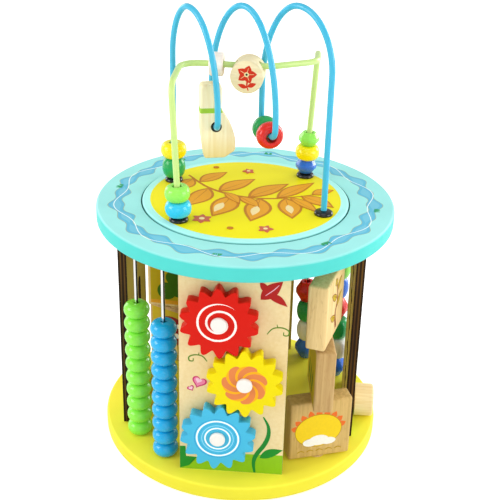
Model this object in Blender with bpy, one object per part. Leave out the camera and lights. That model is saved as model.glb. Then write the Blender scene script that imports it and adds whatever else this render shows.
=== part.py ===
# Round wooden activity centre for toddlers: a disc base, four upright panels, a ring-shaped top and
# a lift-out lid with a bead maze. The front panel has gears, and each corner bay holds its own toy.
# Metres, +Z up, the front panel facing -Y. The origin is the middle of the base's underside.
# An azimuth is in degrees round +Z, with 0 at the front (-Y), 90 at the right (+X).

import math

import bmesh
import bpy
from mathutils import Matrix, Vector

# Clearances
FIT_GAP = 0.0003            # between pieces that touch or are glued
BORE_GAP = 0.0007           # between a bead's bore and its rod
MAZE_BORE_GAP = 0.0014      # the maze's beads are loose, so that they pass the bends
SPIN_GAP = 0.0004           # between a turning wooden piece and its axle
LID_GAP = 0.0008            # round the lid, in the ring

# Base, ring and lid
BASE_RADIUS = 0.134
BASE_THICKNESS = 0.015
RING_RADIUS = 0.135
RING_THICKNESS = 0.015
RING_HOLE_RADIUS = 0.0945
RING_LEDGE_WIDTH = 0.0085   # the lid rests on this ledge
RING_LEDGE_THICKNESS = 0.005
LID_PROUD = 0.0015          # height of the lid's face over the ring's
EDGE_ROUND = 0.0025
DISC_SIDES = 48

# Panels
PANEL_HEIGHT = 0.208        # from the base's top to the ring's underside
PANEL_WIDTH = 0.0934
PANEL_THICKNESS = 0.008
PANEL_FACE = 0.1105         # outer face, from the middle
GROOVE_DEPTH = 0.004        # the panels' ends stand in grooves in the base and the ring

SOCKET_DEPTH = 0.008        # rods and wires end in blind holes

# Gears
GEAR_TEETH = 14
GEAR_PITCH_RADIUS = 0.0313
GEAR_ADDENDUM = 0.0021
GEAR_TOOTH_DEPTH = 0.0071
GEAR_THICKNESS = 0.010
GEAR_STANDOFF = 0.003       # from the panel's face to the gear
GEAR_STAGGER = 0.0113       # each gear's offset from the panel's middle line
TOOTH_SHARPNESS = 0.9       # below 1 is a blunter tooth
RED_GEAR_PHASE = -1.8       # degrees, turned clockwise as seen from the front
PEG_RADIUS = 0.005
PEG_HEAD_RADIUS = 0.0068
PEG_HEAD_THICKNESS = 0.0025
PEG_SHOULDER_RADIUS = 0.0085

# Abacus: two rods in the front left bay
ABACUS_PLACE = 0.1097       # each rod, from the middle
ABACUS_AZIMUTH = -46.0      # halfway between the rods
ABACUS_SPREAD = 11.0        # degrees from there to each rod
ABACUS_ROD_RADIUS = 0.0017
ABACUS_BEAD_RADIUS = 0.0118
ABACUS_BEAD_HEIGHT = 0.01395
ABACUS_BEADS = 10
ABACUS_LOOSE_BEADS = 2      # separate beads at the top; the ones under them are one stack

# Spinning blocks
FRONT_SPINNER_AZIMUTH = 45.8
FRONT_SPINNER_PLACE = 0.1071    # the blocks' rod, from the middle
BACK_SPINNER_AZIMUTH = -135.0
BACK_SPINNER_PLACE = 0.1055
SPINNER_ROD_RADIUS = 0.003
SPINNER_HEADROOM = 0.0165   # from the top block to the ring
SPINNER_BLOCKS = 3
BLOCK_WIDTH = 0.059
BLOCK_DEPTH = 0.0175
BLOCK_ROUND = 0.0022
WASHER_RADIUS = 0.008
WASHER_THICKNESS = 0.0014
FRONT_BLOCK_AZIMUTHS = (19.0, 96.5, 75.0)
BACK_BLOCK_AZIMUTHS = (-26.0, -6.0, -48.0)

# String wires in the back right bay, and their beads
STRING_PLACE = 0.112        # each wire, from the middle
STRING_SPREAD = 11.4        # degrees from the bay's middle to each wire
STRING_WIRE_RADIUS = 0.0018
STRING_WAVE = 0.003         # sideways swing of the wavy wire
STRING_WAVES = 1.5          # waves in the bay's height
STRING_BEAD_RADIUS = 0.0118
STRING_BEAD_HEIGHT = 0.0225
STRING_BORE_GAP = 0.0020    # the wire wanders in a bead's bore
RIGHT_STRING_BEADS = 6
LEFT_STRING_BEADS = 4

# Bead maze, with places measured from the middle of the lid's face
MAZE_WIRE_RADIUS = 0.0027
FERRULE_RADIUS = 0.0083
FERRULE_HEIGHT = 0.0040
WIRE_SIDES = 10
# Blue wire: each arch's start and end on the plan, the heights of its start, crown and end, and
# the share of its span at the crown
BLUE_ARCHES = (
    ((-0.0702, 0.0315), (-0.0243, -0.0190), (0.1205, 0.1675, 0.0795), 0.36),
    ((-0.0345, 0.0239), (0.0256, -0.0225), (0.0950, 0.1725, 0.0765), 0.48),
    ((0.0109, 0.0200), (0.0709, -0.0285), (0.1025, 0.1755, 0.1240), 0.50),
)
# Blue wire: the front and back corner of the low loop after an arch, each with its height and how
# far before it the bend starts
BLUE_LOW_LOOPS = (
    ((0.0695, 0.009), (0.0695, 0.009)),
    ((0.0635, 0.012), (0.0660, 0.007)),
)
# Lime wire: its corners, and how far before each one its bend starts
LIME_HEIGHT = 0.1215
LIME_FEET = ((-0.0534, -0.0571), (0.0527, 0.0582))
LIME_TOP_CORNERS = (
    ((-0.0585, -0.0590), 0.012),
    ((-0.0588, 0.0055), 0.018),
    ((0.0170, 0.0022), 0.010),
    ((0.0586, 0.0250), 0.010),
    ((0.0585, 0.0585), 0.008),
)

# Maze beads: radius, height and kind, from the foot upwards
BLUE_FOOT_BEADS = ((0.0108, 0.0186, "round"), (0.0121, 0.0146, "round"))
LIME_FRONT_BEADS = ((0.0115, 0.0140, "round"), (0.0110, 0.0135, "round"))
LIME_BACK_BEADS = ((0.0100, 0.0130, "faceted"), (0.0115, 0.0138, "round"), (0.0100, 0.0128, "faceted"))
RED_LOOP_BEAD = (0.0121, 0.0140)
GREEN_LOOP_BEAD = (0.0114, 0.0125)
LOOP_BEADS_START = 0.0095   # from the low loop's front corner to the red bead
LOOP_BEADS_SPACE = 0.003    # from the red bead to the green one
LOOP_BEAD_BORE_RADIUS = 0.0049
LOOP_BEAD_SAG = 0.0014      # the loop's beads hang this far under the wire's middle
PICTURE_DISC_RADIUS = 0.0144
PICTURE_DISC_THICKNESS = 0.024
PICTURE_DISC_DROP = 0.0070  # the wire runs this far over the disc's middle
PICTURE_DISC_X = -0.0006
PLAIN_DISC_RADIUS = 0.0102
PLAIN_DISC_THICKNESS = 0.012
PLAIN_DISC_X = -0.0280
ANIMAL_THICKNESS = 0.0140
ANIMAL_BODY_WIDTH = 0.0310
ANIMAL_NECK_WIDTH = 0.0185
ANIMAL_BELOW_WIRE = 0.0290
ANIMAL_TOP_GAP = 0.0145     # from its top up to the height of the lime wire
ANIMAL_LEFT_OF_WIRE = 0.0138
ANIMAL_TOE = 0.0035         # from its left side to where the flat sole begins
ANIMAL_SOLE = 0.0180
ANIMAL_HEEL_RISE = 0.0065   # how far the underside slopes up behind the sole
ANIMAL_BORE_RADIUS = 0.0047

# Tracks in the side panels
RIGHT_TRACK_WIDTH = 0.0076
RIGHT_TRACK_STEP = 0.029    # from one rung to the next
RIGHT_TRACK_RUNGS = 5
RIGHT_TRACK_BOTTOM = 0.0163  # the knob's lowest place, from the base's top
RIGHT_TRACK_OFFSET = 0.007  # from the panel's middle line, towards the front
RUNG_LENGTH = 0.024
KNOB_RADIUS = 0.0158
KNOB_LENGTH = 0.018
KNOB_COLLAR_RADIUS = 0.009
KNOB_COLLAR_LENGTH = 0.0024
LEFT_TRACK_WIDTH = 0.013
LEFT_TRACK_BOTTOM = 0.050   # lower end, from the base's top
LEFT_TRACK_LENGTH = 0.080
LEFT_TRACK_OFFSET = 0.012   # from the panel's middle line, towards the back
SLIDER_RADIUS = 0.013
SLIDER_THICKNESS = 0.0045
RETAINER_THICKNESS = 0.004
TRACK_GAP = 0.0005          # between a neck and its track

# Clock on the back panel
CLOCK_HEIGHT = 0.118        # middle, from the base's top
HOUR_HAND_LENGTH = 0.022
MINUTE_HAND_LENGTH = 0.032
HAND_THICKNESS = 0.003
HAND_HUB_RADIUS = 0.0075
CLOCK_PIN_RADIUS = 0.003
CLOCK_HEAD_RADIUS = 0.005
CLOCK_HEAD_THICKNESS = 0.002
CLOCK_PIN_DEPTH = 0.006     # in the panel

# Heights that follow from the sizes above
BASE_TOP = BASE_THICKNESS
RING_BOTTOM = BASE_TOP + PANEL_HEIGHT
RING_TOP = RING_BOTTOM + RING_THICKNESS
LID_BOTTOM = RING_BOTTOM + RING_LEDGE_THICKNESS + FIT_GAP
LID_TOP = RING_TOP + LID_PROUD
LID_RADIUS = RING_HOLE_RADIUS - LID_GAP

WOOD = (0.80, 0.64, 0.42)
CREAM = (0.88, 0.78, 0.56)
YELLOW = (0.92, 0.88, 0.05)
TURQUOISE = (0.30, 0.83, 0.78)
RED = (0.80, 0.05, 0.03)
GEAR_YELLOW = (0.98, 0.85, 0.02)
BLUE = (0.05, 0.42, 0.80)
SKY = (0.06, 0.58, 0.85)
GREEN = (0.03, 0.42, 0.14)
LIME = (0.33, 0.83, 0.20)
WHITE = (0.90, 0.89, 0.85)
STEEL = (0.72, 0.73, 0.75)


def clear_scene():
    for obj in list(bpy.data.objects):
        bpy.data.objects.remove(obj, do_unlink=True)


def finish(name, colour, roughness=0.35, metallic=0.0):
    material = bpy.data.materials.new(name + "_finish")
    material.use_nodes = True
    shader = material.node_tree.nodes["Principled BSDF"]
    shader.inputs["Base Color"].default_value = (*colour, 1.0)
    shader.inputs["Roughness"].default_value = roughness
    shader.inputs["Metallic"].default_value = metallic
    material.diffuse_color = (*colour, 1.0)
    return material


def make_object(name, mesh, material=None, location=(0, 0, 0), rotation=(0, 0, 0), smooth=True):
    obj = bpy.data.objects.new(name, mesh)
    bpy.context.collection.objects.link(obj)
    obj.location = location
    obj.rotation_euler = rotation
    if material is not None and not mesh.materials:
        mesh.materials.append(material)
    if smooth:
        mesh.shade_smooth()
        mesh.set_sharp_from_angle(angle=math.radians(35))
    return obj


def mesh_from(bm, name):
    bmesh.ops.recalc_face_normals(bm, faces=bm.faces)
    mesh = bpy.data.meshes.new(name)
    bm.to_mesh(mesh)
    bm.free()
    return mesh


def around(azimuth, radius, height=0.0):
    angle = math.radians(azimuth)
    return Vector((radius * math.sin(angle), -radius * math.cos(angle), height))


# Adds a solid of revolution about Z to bm. The profile is a closed loop of (radius, height); a
# point on the axis becomes a pole.
def add_turned(bm, profile, sides, centre=(0, 0, 0)):
    rings = []
    for radius, height in profile:
        if radius < 1e-7:
            rings.append([bm.verts.new((centre[0], centre[1], centre[2] + height))])
            continue
        ring = []
        for i in range(sides):
            angle = 2 * math.pi * i / sides
            ring.append(bm.verts.new((centre[0] + radius * math.cos(angle),
                                      centre[1] + radius * math.sin(angle),
                                      centre[2] + height)))
        rings.append(ring)
    for first, second in zip(rings, rings[1:] + rings[:1]):
        if len(first) == 1 and len(second) == 1:
            continue
        for i in range(sides):
            j = (i + 1) % sides
            if len(first) == 1:
                bm.faces.new((first[0], second[i], second[j]))
            elif len(second) == 1:
                bm.faces.new((first[i], second[0], first[j]))
            else:
                bm.faces.new((first[i], second[i], second[j], first[j]))


def turned_mesh(name, profile, sides):
    bm = bmesh.new()
    add_turned(bm, profile, sides)
    return mesh_from(bm, name)


# Adds a straight prism to bm: a flat outline in XY, from one height to another
def add_prism(bm, outline, bottom, top):
    low = [bm.verts.new((x, y, bottom)) for x, y in outline]
    high = [bm.verts.new((x, y, top)) for x, y in outline]
    bm.faces.new(low)
    bm.faces.new(high)
    for i in range(len(outline)):
        j = (i + 1) % len(outline)
        bm.faces.new((low[i], low[j], high[j], high[i]))


def add_box(bm, size, matrix):
    bmesh.ops.create_cube(bm, size=1.0, matrix=matrix @ Matrix.Diagonal((*size, 1.0)))


# A cutter is a mesh of separate closed solids, hidden and drawn as wire
def cut(obj, bm):
    cutter = make_object(obj.name + "_cutter", mesh_from(bm, obj.name + "_cutter"), smooth=False)
    cutter.hide_render = True
    cutter.display_type = 'WIRE'
    cutter.matrix_world = Matrix.Identity(4)
    modifier = obj.modifiers.new("cut", 'BOOLEAN')
    modifier.operation = 'DIFFERENCE'
    modifier.solver = 'EXACT'
    modifier.object = cutter
    return cutter


# A quarter turn from the side of a disc to its face
def edge_arc(radius, face, outward, steps=2):
    points = []
    for i in range(steps + 1):
        angle = math.pi / 2 * i / steps
        points.append((radius - EDGE_ROUND * (1 - math.cos(angle)),
                       face - outward * EDGE_ROUND * (1 - math.sin(angle))))
    return points


# A tube along a path of points, with a radius at each point and flat ends
def tube_mesh(name, path, radii, sides):
    bm = bmesh.new()
    rings = []
    normal = None
    for i, point in enumerate(path):
        before = path[max(i - 1, 0)]
        after = path[min(i + 1, len(path) - 1)]
        ahead = (after - point).normalized() if (after - point).length > 1e-7 else None
        behind = (point - before).normalized() if (point - before).length > 1e-7 else None
        tangent = ((ahead or behind) + (behind or ahead)).normalized()
        if normal is None:
            normal = tangent.orthogonal().normalized()
        normal = (normal - tangent * normal.dot(tangent)).normalized()
        side = tangent.cross(normal)
        ring = []
        for k in range(sides):
            angle = 2 * math.pi * k / sides
            ring.append(bm.verts.new(point + radii[i] * (math.cos(angle) * normal
                                                         + math.sin(angle) * side)))
        rings.append(ring)
    for first, second in zip(rings, rings[1:]):
        for k in range(sides):
            j = (k + 1) % sides
            bm.faces.new((first[k], first[j], second[j], second[k]))
    bm.faces.new(list(reversed(rings[0])))
    bm.faces.new(rings[-1])
    return mesh_from(bm, name)


def cubic(start, handle_a, handle_b, end, steps):
    points = []
    for i in range(1, steps + 1):
        t = i / steps
        points.append((1 - t) ** 3 * start + 3 * t * (1 - t) ** 2 * handle_a
                      + 3 * t * t * (1 - t) * handle_b + t ** 3 * end)
    return points


# A bend at a corner, from reach before it to reach after it
def corner(before, point, after, reach, steps=4):
    start = point + (before - point).normalized() * reach
    end = point + (after - point).normalized() * reach
    return [start] + cubic(start, start.lerp(point, 0.6), end.lerp(point, 0.6), end, steps)


def round_bead_profile(radius, height, bore, steps=4):
    face = bore + (radius - bore) * 0.35
    points = []
    for i in range(steps + 1):
        angle = math.pi / 2 - math.pi * i / steps
        points.append((face + (radius - face) * math.cos(angle), height / 2 * math.sin(angle)))
    return [(bore, height / 2)] + points + [(bore, -height / 2)]


def faceted_bead_profile(radius, height, bore):
    face = bore + (radius - bore) * 0.4
    belt = height * 0.12
    return [(bore, height / 2), (face, height / 2), (radius, belt),
            (radius, -belt), (face, -height / 2), (bore, -height / 2)]


def bead_mesh(name, radius, height, bore, kind):
    if kind == "faceted":
        return turned_mesh(name, faceted_bead_profile(radius, height, bore), 8)
    return turned_mesh(name, round_bead_profile(radius, height, bore), 12)


# Each rod's azimuth, distance from the middle and radius
def rod_places():
    return {"green_abacus": (ABACUS_AZIMUTH - ABACUS_SPREAD, ABACUS_PLACE, ABACUS_ROD_RADIUS),
            "blue_abacus": (ABACUS_AZIMUTH + ABACUS_SPREAD, ABACUS_PLACE, ABACUS_ROD_RADIUS),
            "front_spinner": (FRONT_SPINNER_AZIMUTH, FRONT_SPINNER_PLACE, SPINNER_ROD_RADIUS),
            "back_spinner": (BACK_SPINNER_AZIMUTH, BACK_SPINNER_PLACE, SPINNER_ROD_RADIUS),
            "right_string": (135 - STRING_SPREAD, STRING_PLACE, STRING_WIRE_RADIUS),
            "left_string": (135 + STRING_SPREAD, STRING_PLACE, STRING_WIRE_RADIUS)}


# Grooves for the panels and blind holes for the rods, in the base or the ring. The cut starts at
# one face and goes towards the inside of the board.
def socket_cutter(face, inward):
    bm = bmesh.new()
    overshoot = 0.001
    groove = GROOVE_DEPTH + FIT_GAP
    for azimuth in (0, 90, 180, 270):
        centre = around(azimuth, PANEL_FACE - PANEL_THICKNESS / 2)
        centre.z = face + inward * (groove - overshoot) / 2
        size = (PANEL_WIDTH + 2 * FIT_GAP, PANEL_THICKNESS + 2 * FIT_GAP, groove + overshoot)
        add_box(bm, size, Matrix.Translation(centre) @ Matrix.Rotation(math.radians(azimuth), 4, 'Z'))
    depth = SOCKET_DEPTH + FIT_GAP
    for azimuth, radius, rod in rod_places().values():
        low, high = sorted((face - inward * overshoot, face + inward * depth))
        hole = rod + FIT_GAP
        add_turned(bm, [(0, high), (hole, high), (hole, low), (0, low)], 12, around(azimuth, radius))
    return bm


def build_base():
    outer = (list(reversed(edge_arc(BASE_RADIUS, BASE_TOP, 1)))
             + edge_arc(BASE_RADIUS, 0, -1))
    mesh = turned_mesh("base_disc", [(0, BASE_TOP)] + outer + [(0, 0)], DISC_SIDES)
    base = make_object("base_disc", mesh, finish("yellow_base", YELLOW))
    cut(base, socket_cutter(BASE_TOP, -1))


def build_ring():
    ledge = RING_HOLE_RADIUS - RING_LEDGE_WIDTH
    ledge_top = RING_BOTTOM + RING_LEDGE_THICKNESS
    outer = (list(reversed(edge_arc(RING_RADIUS, RING_TOP, 1)))
             + edge_arc(RING_RADIUS, RING_BOTTOM, -1))
    inner = [(ledge, RING_BOTTOM), (ledge, ledge_top), (RING_HOLE_RADIUS, ledge_top),
             (RING_HOLE_RADIUS, RING_TOP)]
    ring = make_object("top_ring", turned_mesh("top_ring", outer + inner, DISC_SIDES),
                       finish("turquoise_ring", TURQUOISE))
    cut(ring, socket_cutter(RING_BOTTOM, 1))


# A round-ended slot in XZ, cut right through a panel that stands in XZ
def add_slot(bm, centre, length, width, upright, through):
    half = (length - width) / 2
    steps = 5
    outline = []
    for end in (1, -1):
        for i in range(steps + 1):
            angle = math.pi * i / steps - math.pi / 2
            along = end * (half + width / 2 * math.cos(angle))
            across = end * width / 2 * math.sin(angle)
            outline.append((across, along) if upright else (along, across))
    start = len(bm.verts)
    add_prism(bm, outline, -through / 2, through / 2)
    bm.verts.ensure_lookup_table()
    turn = Matrix.Translation(centre) @ Matrix.Rotation(math.pi / 2, 4, 'X')
    bmesh.ops.transform(bm, matrix=turn, verts=bm.verts[start:])


def add_cross_hole(bm, centre, radius, depth, sides=12):
    start = len(bm.verts)
    add_turned(bm, [(0, depth / 2), (radius, depth / 2), (radius, -depth / 2), (0, -depth / 2)], sides)
    bm.verts.ensure_lookup_table()
    turn = Matrix.Translation(centre) @ Matrix.Rotation(math.pi / 2, 4, 'X')
    bmesh.ops.transform(bm, matrix=turn, verts=bm.verts[start:])


# A panel is drawn as the front one, with its outer face at -Y, and turned to its place
def build_panel(name, azimuth, colour, cutters):
    bm = bmesh.new()
    height = PANEL_HEIGHT + 2 * GROOVE_DEPTH
    middle = BASE_TOP + PANEL_HEIGHT / 2
    add_box(bm, (PANEL_WIDTH, PANEL_THICKNESS, height),
            Matrix.Translation((0, PANEL_THICKNESS / 2 - PANEL_FACE, middle)))
    turn = (0, 0, math.radians(azimuth))
    panel = make_object(name, mesh_from(bm, name), finish(name, colour, 0.5), rotation=turn, smooth=False)
    for cutter in cutters:
        cut(panel, cutter).rotation_euler = turn


def gear_places():
    step = math.sqrt((2 * GEAR_PITCH_RADIUS) ** 2 - (2 * GEAR_STAGGER) ** 2)
    middle = BASE_TOP + PANEL_HEIGHT / 2
    return (("red_gear", -GEAR_STAGGER, middle + step, RED),
            ("yellow_gear", GEAR_STAGGER, middle, GEAR_YELLOW),
            ("blue_gear", -GEAR_STAGGER, middle - step, SKY))


# Each gear's tooth angle, so that a tooth of one meets a space of the next
def gear_phases():
    places = gear_places()
    phases = [math.radians(RED_GEAR_PHASE)]
    for (_, x0, z0, _), (_, x1, z1, _) in zip(places, places[1:]):
        line = math.atan2(x1 - x0, z1 - z0)
        offset = phases[-1] - line
        phases.append(line + math.pi - offset + math.pi / GEAR_TEETH)
    return phases


def gear_outline(phase):
    tip = GEAR_PITCH_RADIUS + GEAR_ADDENDUM
    points = []
    samples = 8 * GEAR_TEETH
    for i in range(samples):
        angle = 2 * math.pi * i / samples
        rise = (0.5 + 0.5 * math.cos(GEAR_TEETH * angle)) ** TOOTH_SHARPNESS
        radius = tip - GEAR_TOOTH_DEPTH * (1 - rise)
        points.append((radius * math.sin(angle + phase), radius * math.cos(angle + phase)))
    return points


def build_gears():
    back = -PANEL_FACE - GEAR_STANDOFF
    for (name, x, z, colour), phase in zip(gear_places(), gear_phases()):
        bm = bmesh.new()
        add_prism(bm, gear_outline(phase), 0, GEAR_THICKNESS)
        gear = make_object(name, mesh_from(bm, name), finish(name, colour, 0.3),
                           (x, back, z), (math.pi / 2, 0, 0))
        bore = bmesh.new()
        add_cross_hole(bore, (x, back, z), PEG_RADIUS + SPIN_GAP, 4 * GEAR_THICKNESS, 16)
        cut(gear, bore)
        build_peg(name + "_peg", x, z)


# A glued dowel: a shoulder against the panel, the gear's axle, and a cap in front of the gear
def build_peg(name, x, z):
    shoulder = GEAR_STANDOFF - 2 * FIT_GAP
    axle = GEAR_STANDOFF + GEAR_THICKNESS + FIT_GAP
    tail = PANEL_THICKNESS
    profile = [(0, axle + PEG_HEAD_THICKNESS),
               (PEG_HEAD_RADIUS * 0.8, axle + PEG_HEAD_THICKNESS),
               (PEG_HEAD_RADIUS, axle + PEG_HEAD_THICKNESS * 0.6),
               (PEG_HEAD_RADIUS, axle),
               (PEG_RADIUS, axle),
               (PEG_RADIUS, shoulder + FIT_GAP),
               (PEG_SHOULDER_RADIUS, shoulder + FIT_GAP),
               (PEG_SHOULDER_RADIUS, FIT_GAP),
               (PEG_RADIUS, FIT_GAP),
               (PEG_RADIUS, -tail),
               (0, -tail)]
    make_object(name, turned_mesh(name, profile, 16), finish(name, WHITE, 0.4),
                (x, -PANEL_FACE, z), (math.pi / 2, 0, 0))


def gear_panel_holes():
    bm = bmesh.new()
    for _, x, z, _ in gear_places():
        add_cross_hole(bm, (x, -PANEL_FACE, z), PEG_RADIUS + FIT_GAP, 4 * PANEL_THICKNESS, 16)
    return bm


def right_track_stile():
    bm = bmesh.new()
    bottom = BASE_TOP + RIGHT_TRACK_BOTTOM
    travel = RIGHT_TRACK_STEP * RIGHT_TRACK_RUNGS
    place = (-RIGHT_TRACK_OFFSET, PANEL_THICKNESS / 2 - PANEL_FACE, bottom + travel / 2)
    add_slot(bm, place, travel + RIGHT_TRACK_WIDTH, RIGHT_TRACK_WIDTH, True, 4 * PANEL_THICKNESS)
    return bm


def right_track_rungs():
    bm = bmesh.new()
    for i in range(RIGHT_TRACK_RUNGS):
        z = BASE_TOP + RIGHT_TRACK_BOTTOM + RIGHT_TRACK_STEP * (i + 1)
        place = (-RIGHT_TRACK_OFFSET, PANEL_THICKNESS / 2 - PANEL_FACE, z)
        add_slot(bm, place, RUNG_LENGTH, RIGHT_TRACK_WIDTH, False, 4 * PANEL_THICKNESS)
    return bm


def left_track_slot():
    bm = bmesh.new()
    middle = BASE_TOP + LEFT_TRACK_BOTTOM + LEFT_TRACK_LENGTH / 2
    place = (-LEFT_TRACK_OFFSET, PANEL_THICKNESS / 2 - PANEL_FACE, middle)
    add_slot(bm, place, LEFT_TRACK_LENGTH, LEFT_TRACK_WIDTH, True, 4 * PANEL_THICKNESS)
    return bm


def clock_panel_holes():
    bm = bmesh.new()
    z = BASE_TOP + CLOCK_HEIGHT
    depth = 2 * (CLOCK_PIN_DEPTH + FIT_GAP)
    add_cross_hole(bm, (0, -PANEL_FACE, z), CLOCK_PIN_RADIUS + FIT_GAP, depth)
    return bm


def build_panels():
    build_panel("front_panel", 0, CREAM, [gear_panel_holes()])
    build_panel("right_panel", 90, CREAM, [right_track_stile(), right_track_rungs()])
    build_panel("back_panel", 180, CREAM, [clock_panel_holes()])
    build_panel("left_panel", -90, CREAM, [left_track_slot()])


# A spool through a panel's track: the knob outside, its collar, the neck, and a disc inside
def build_spool(name, azimuth, across, z, sizes, colour):
    knob, knob_length, collar, collar_length, neck, retainer = sizes
    outside = FIT_GAP
    inside = -PANEL_THICKNESS - FIT_GAP
    face = outside + collar_length + knob_length
    soft = 0.0015
    profile = [(0, face), (knob - soft, face), (knob, face - soft)]
    if collar_length > 0:
        profile += [(knob, outside + collar_length), (collar, outside + collar_length), (collar, outside)]
    else:
        profile += [(knob, outside)]
    profile += [(neck, outside), (neck, inside), (retainer, inside),
                (retainer, inside - RETAINER_THICKNESS), (0, inside - RETAINER_THICKNESS)]
    place = around(azimuth, PANEL_FACE, z) + around(azimuth + 90, across)
    turn = Matrix.Rotation(math.radians(azimuth), 4, 'Z') @ Matrix.Rotation(math.pi / 2, 4, 'X')
    make_object(name, turned_mesh(name, profile, 20), finish(name, colour, 0.5),
                place, turn.to_euler())


def build_track_pieces():
    neck = RIGHT_TRACK_WIDTH / 2 - TRACK_GAP
    build_spool("right_track_knob", 90, -RIGHT_TRACK_OFFSET, BASE_TOP + RIGHT_TRACK_BOTTOM,
                (KNOB_RADIUS, KNOB_LENGTH, KNOB_COLLAR_RADIUS, KNOB_COLLAR_LENGTH, neck,
                 KNOB_COLLAR_RADIUS), WOOD)
    neck = LEFT_TRACK_WIDTH / 2 - TRACK_GAP
    build_spool("left_track_slider", -90, -LEFT_TRACK_OFFSET,
                BASE_TOP + LEFT_TRACK_BOTTOM + LEFT_TRACK_WIDTH / 2,
                (SLIDER_RADIUS, SLIDER_THICKNESS, 0, 0, neck, SLIDER_RADIUS), RED)


def rod_span():
    return BASE_TOP - SOCKET_DEPTH, RING_BOTTOM + SOCKET_DEPTH


def stacked_profile(radius, height, bore, count):
    single = round_bead_profile(radius, height, bore)[1:-1]
    pitch = height + FIT_GAP
    points = []
    for i in reversed(range(count)):
        points += [(r, z + pitch * i) for r, z in single]
    return [(bore, points[0][1])] + points + [(bore, points[-1][1])]


def build_abacus():
    low, high = rod_span()
    bore = ABACUS_ROD_RADIUS + BORE_GAP
    pitch = ABACUS_BEAD_HEIGHT + FIT_GAP
    first = BASE_TOP + FIT_GAP + ABACUS_BEAD_HEIGHT / 2
    stacked = ABACUS_BEADS - ABACUS_LOOSE_BEADS
    for key, colour in (("green", LIME), ("blue", SKY)):
        azimuth, radius, rod = rod_places()[key + "_abacus"]
        place = around(azimuth, radius)
        profile = [(0, high), (rod, high), (rod, low), (0, low)]
        make_object(key + "_abacus_rod", turned_mesh(key + "_abacus_rod", profile, 12),
                    finish(key + "_rod", STEEL, 0.2, 1.0), place)
        name = key + "_bead_stack"
        mesh = turned_mesh(name, stacked_profile(ABACUS_BEAD_RADIUS, ABACUS_BEAD_HEIGHT, bore, stacked), 12)
        make_object(name, mesh, finish(name, colour, 0.25), place + Vector((0, 0, first)))
        for i in range(stacked, ABACUS_BEADS):
            name = "%s_bead_%d" % (key, i + 1)
            mesh = bead_mesh(name, ABACUS_BEAD_RADIUS, ABACUS_BEAD_HEIGHT, bore, "round")
            make_object(name, mesh, finish(name, colour, 0.25), place + Vector((0, 0, first + pitch * i)))


def block_height():
    space = PANEL_HEIGHT - SPINNER_HEADROOM
    return space / SPINNER_BLOCKS - WASHER_THICKNESS - 2 * FIT_GAP


# The rod with its washers: one under each block
def build_spinner_rod(name, place):
    low, high = rod_span()
    rod = SPINNER_ROD_RADIUS
    profile = [(0, high), (rod, high)]
    for i in reversed(range(SPINNER_BLOCKS)):
        z = BASE_TOP + FIT_GAP + i * (block_height() + WASHER_THICKNESS + 2 * FIT_GAP)
        profile += [(rod, z + WASHER_THICKNESS), (WASHER_RADIUS, z + WASHER_THICKNESS),
                    (WASHER_RADIUS, z), (rod, z)]
    profile += [(rod, low), (0, low)]
    make_object(name, turned_mesh(name, profile, 12), finish(name, STEEL, 0.25, 1.0), place)


def build_block(name, place, z, azimuth):
    height = block_height()
    bm = bmesh.new()
    add_box(bm, (BLOCK_WIDTH, BLOCK_DEPTH, height), Matrix.Identity(4))
    block = make_object(name, mesh_from(bm, name), finish(name, WOOD, 0.5),
                        place + Vector((0, 0, z + height / 2)), (0, 0, math.radians(azimuth)))
    edge = block.modifiers.new("soft_edges", 'BEVEL')
    edge.width = BLOCK_ROUND
    edge.segments = 1
    bore = bmesh.new()
    hole = SPINNER_ROD_RADIUS + SPIN_GAP
    reach = height
    add_turned(bore, [(0, z + height + reach), (hole, z + height + reach), (hole, z - reach), (0, z - reach)],
               12, place)
    cut(block, bore)


def build_spinners():
    for key, azimuths in (("front", FRONT_BLOCK_AZIMUTHS), ("back", BACK_BLOCK_AZIMUTHS)):
        azimuth, radius, _ = rod_places()[key + "_spinner"]
        place = around(azimuth, radius)
        build_spinner_rod(key + "_spinner_rod", place)
        for i in range(SPINNER_BLOCKS):
            z = BASE_TOP + 2 * FIT_GAP + WASHER_THICKNESS
            z += i * (block_height() + WASHER_THICKNESS + 2 * FIT_GAP)
            build_block("%s_block_%d" % (key, i + 1), place, z, azimuths[i])


def string_swing(height):
    return STRING_WAVE * math.sin(2 * math.pi * STRING_WAVES * (height - BASE_TOP) / PANEL_HEIGHT)


# Where a string wire's centre is at a height: it swings along the bay, square to the radius
def string_point(azimuth, radius, height):
    inside = min(max(height, BASE_TOP), RING_BOTTOM)
    return around(azimuth, radius, height) + around(135 - 90, string_swing(inside))


def build_string(key, count, colours, kinds):
    azimuth, radius, wire = rod_places()[key + "_string"]
    low, high = rod_span()
    steps = 18
    path = [string_point(azimuth, radius, low)]
    path += [string_point(azimuth, radius, BASE_TOP + PANEL_HEIGHT * i / steps) for i in range(steps + 1)]
    path.append(string_point(azimuth, radius, high))
    make_object(key + "_string_wire", tube_mesh(key + "_string_wire", path, [wire] * len(path), 8),
                finish(key + "_wire", STEEL, 0.25, 1.0))
    bore = wire + STRING_BORE_GAP
    for i in range(count):
        z = BASE_TOP + FIT_GAP + STRING_BEAD_HEIGHT / 2 + i * (STRING_BEAD_HEIGHT + FIT_GAP)
        name = "%s_string_bead_%d" % (key, i + 1)
        mesh = bead_mesh(name, STRING_BEAD_RADIUS, STRING_BEAD_HEIGHT, bore, kinds[i])
        make_object(name, mesh, finish(name, colours[i], 0.25), string_point(azimuth, radius, z))


def build_strings():
    colours = (BLUE, WHITE, GREEN, RED, BLUE, LIME)
    kinds = ("faceted", "round", "round", "faceted", "round", "round")
    build_string("right", RIGHT_STRING_BEADS, colours, kinds)
    build_string("left", LEFT_STRING_BEADS, colours, kinds)


def maze_point(plan, height):
    return Vector((plan[0], plan[1], LID_TOP + height))


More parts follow.
